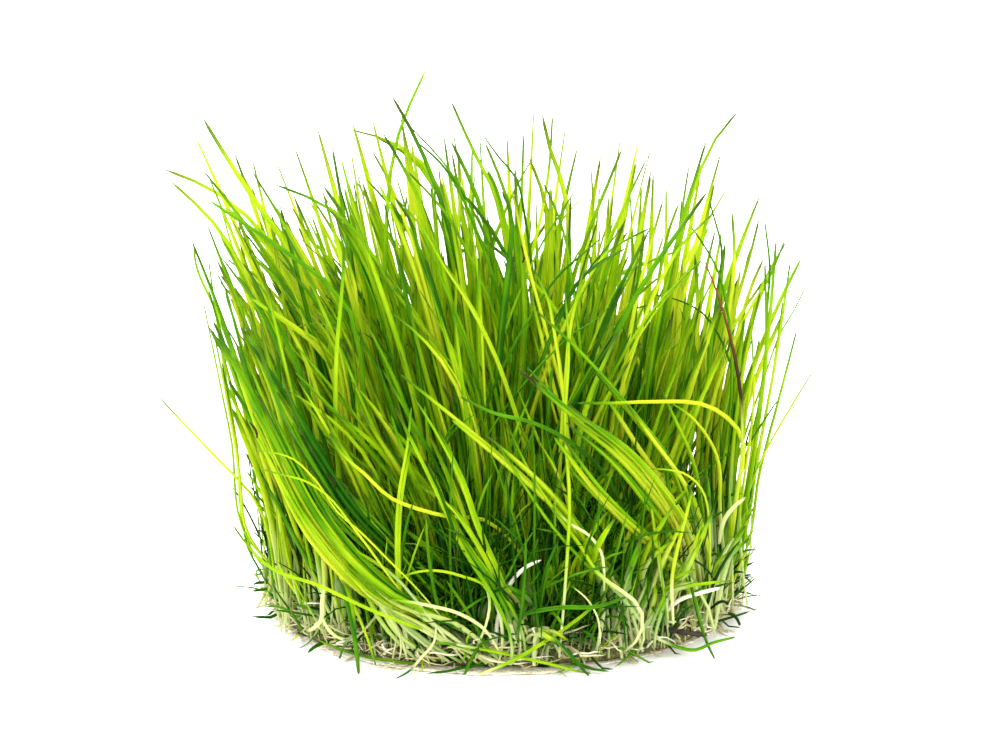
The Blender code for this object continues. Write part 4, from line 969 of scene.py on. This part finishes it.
line = smooth_line(np.array(DEAD_LEAF) / 1000, RUNNER_STATIONS)
widths = DEAD_LEAF_WIDTH * np.interp(shares, (0, 0.5, 0.65, 0.8, 1), (0.6, 0.8, 1.2, 0.8, 0.5))
tone = np.interp(shares, (0.5, 0.62, 1), (0.0, 0.5, 0.95))
dead_thread = join_threads("dead_leaf_thread", [line], [widths], 0.5, {"tone": tone}, dead_leaf_fibre,
                           corners=8, seed=9)
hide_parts("dead_leaf")
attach(dead_thread, "root")


# Brown scraps
# Bits of dead leaf, 2 mm long, curled and dark brown, that cling to the wet leaves. Each lies on the front of
# the foremost leaf at its place.

SCRAPS = ((1.8, 47.8), (-29.2, 31.0), (3.2, 36.0), (-20.0, 23.9))
SCRAP_STATIONS = 7
SCRAP_STEPS = 3
SCRAP_LENGTH = 0.0024
SCRAP_WIDTH = 0.00034
SCRAP_RISE = 0.00035
SCRAP_NEAR = 0.002

curl = np.outer(np.sin(np.linspace(0, math.pi, SCRAP_STATIONS)), (0.0004, -0.0001, 0))
lines = []
for x, z in SCRAPS:
    near = []
    for line in front_lines:
        gaps = np.hypot(line[:, 0] - x / 1000, line[:, 2] - z / 1000)
        step = int(np.argmin(gaps[:-SCRAP_STEPS]))
        if gaps[step] < SCRAP_NEAR:
            near.append((line[step, 1], step, line))
    _, step, line = min(near, key=lambda found: found[0])
    scrap = smooth_line(line[step: step + SCRAP_STEPS], SCRAP_STATIONS)
    scrap = scrap[0] + (scrap - scrap[0]) * SCRAP_LENGTH / norm(scrap[-1] - scrap[0])
    lines.append(scrap + (0, -SCRAP_RISE, 0) + curl)
widths = [SCRAP_WIDTH * np.array([0.5, 0.9, 1, 0.9, 1, 0.8, 0.4])] * len(SCRAPS)
scraps = join_threads("brown_scraps", lines, widths, 0.7, {"tone": 0.52}, dead_leaf_fibre, corners=8, seed=73)
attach(scraps, "root")


# The stub of old stem
# A short dark piece of an older stem, dead and rough, that sticks out past the front right edge of the mat.

OLD_STEM = ((20.5, -23.4, 3.6), (23.5, -25, 3.5), (26.3, -25.6, 3.3))
OLD_STEM_WIDTH = 0.00085

# Rotten bark, damp: nearly black brown, with a rough, broken surface.
dark_bark, tree, output = start_material("dark_bark")
place = add_node(tree, "TexCoord").outputs["Object"]
grain = add_node(tree, "TexNoise", {"Scale": 1800.0, "Detail": 4.0}, Vector=place).outputs["Fac"]
bark = add_node(tree, "ValToRGB", {"steps": ((0.3, "#0E0A04"), (0.6, "#281A0C"), (0.85, "#524026"))},
                Fac=grain)
finish_material(tree, output, bark.outputs["Color"], grain, (1.0, 0.0001), {"Roughness": 0.7, "IOR": 1.45})

line = smooth_line(np.array(OLD_STEM) / 1000, RUNNER_STATIONS)
knots = 1 + 0.16 * np.random.default_rng(77).normal(size=RUNNER_STATIONS)
widths = OLD_STEM_WIDTH * knots * np.interp(shares, (0, 0.93, 1), (1, 1, 0.75))
stem_stub = join_threads("old_stem_stub", [line], [widths], 0.85, {"tone": shares}, dark_bark,
                         corners=10, seed=5)
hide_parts("old_stem")
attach(stem_stub, "root")


# The studio
# A flat white table top under a white background, a large soft light above, one behind that shines
# through the leaves, and a gentle one at the front. The camera looks slightly down from the front.

CAMERA_AIM = Vector((-0.0003, 0, 0.032))
CAMERA_DISTANCE = 0.500
CAMERA_ELEVATION = math.radians(12.0)
CAMERA_LENS_MM = 135
LIGHTS_AIM = Vector((0, 0, 0.03))
# Each light's place, size and power in watts
LIGHTS = (
    ("softbox_above", (-0.25, -0.15, 0.75), 0.60, 9.0),
    ("softbox_behind", (-0.15, 0.65, 0.45), 0.50, 9.0),
    ("softbox_front", (0.35, -0.75, 0.35), 0.60, 3.0),
)
ROOM_BRIGHTNESS = 1.65
TABLE_SIZE = 6.0

# Matt white laminate
table_white, tree, output = start_material("table_white")
shader = add_node(tree, "BsdfPrincipled",
                  {"Base Color": linear("#FBFBF9"), "Roughness": 0.6, "Specular IOR Level": 0.2})
tree.links.new(shader.outputs["BSDF"], output.inputs["Surface"])
deselect_all()
bpy.ops.mesh.primitive_plane_add(size=TABLE_SIZE, location=(0, 0, 0))
table = bpy.context.object
table.name = "table"
table.data.materials.append(table_white)

world = bpy.data.worlds.new("white_room")
world.use_nodes = True
background = world.node_tree.nodes["Background"]
background.inputs["Color"].default_value = (1, 1, 1, 1)
background.inputs["Strength"].default_value = ROOM_BRIGHTNESS
bpy.context.scene.world = world

for name, place, size, power in LIGHTS:
    light = bpy.data.lights.new(name, "AREA")
    light.size = size
    light.energy = power
    lamp = link_object(name, light)
    lamp.location = place
    lamp.rotation_euler = (LIGHTS_AIM - Vector(place)).to_track_quat("-Z", "Y").to_euler()

camera_data = bpy.data.cameras.new("camera")
camera_data.lens = CAMERA_LENS_MM
camera_data.sensor_width = 36
camera_data.clip_start = 0.01
camera = link_object("camera", camera_data)
back = Vector((0, -math.cos(CAMERA_ELEVATION), math.sin(CAMERA_ELEVATION)))
camera.location = CAMERA_AIM + back * CAMERA_DISTANCE
camera.rotation_euler = (-back).to_track_quat("-Z", "Y").to_euler()
bpy.context.scene.camera = camera
bpy.context.scene.view_settings.view_transform = "Standard"
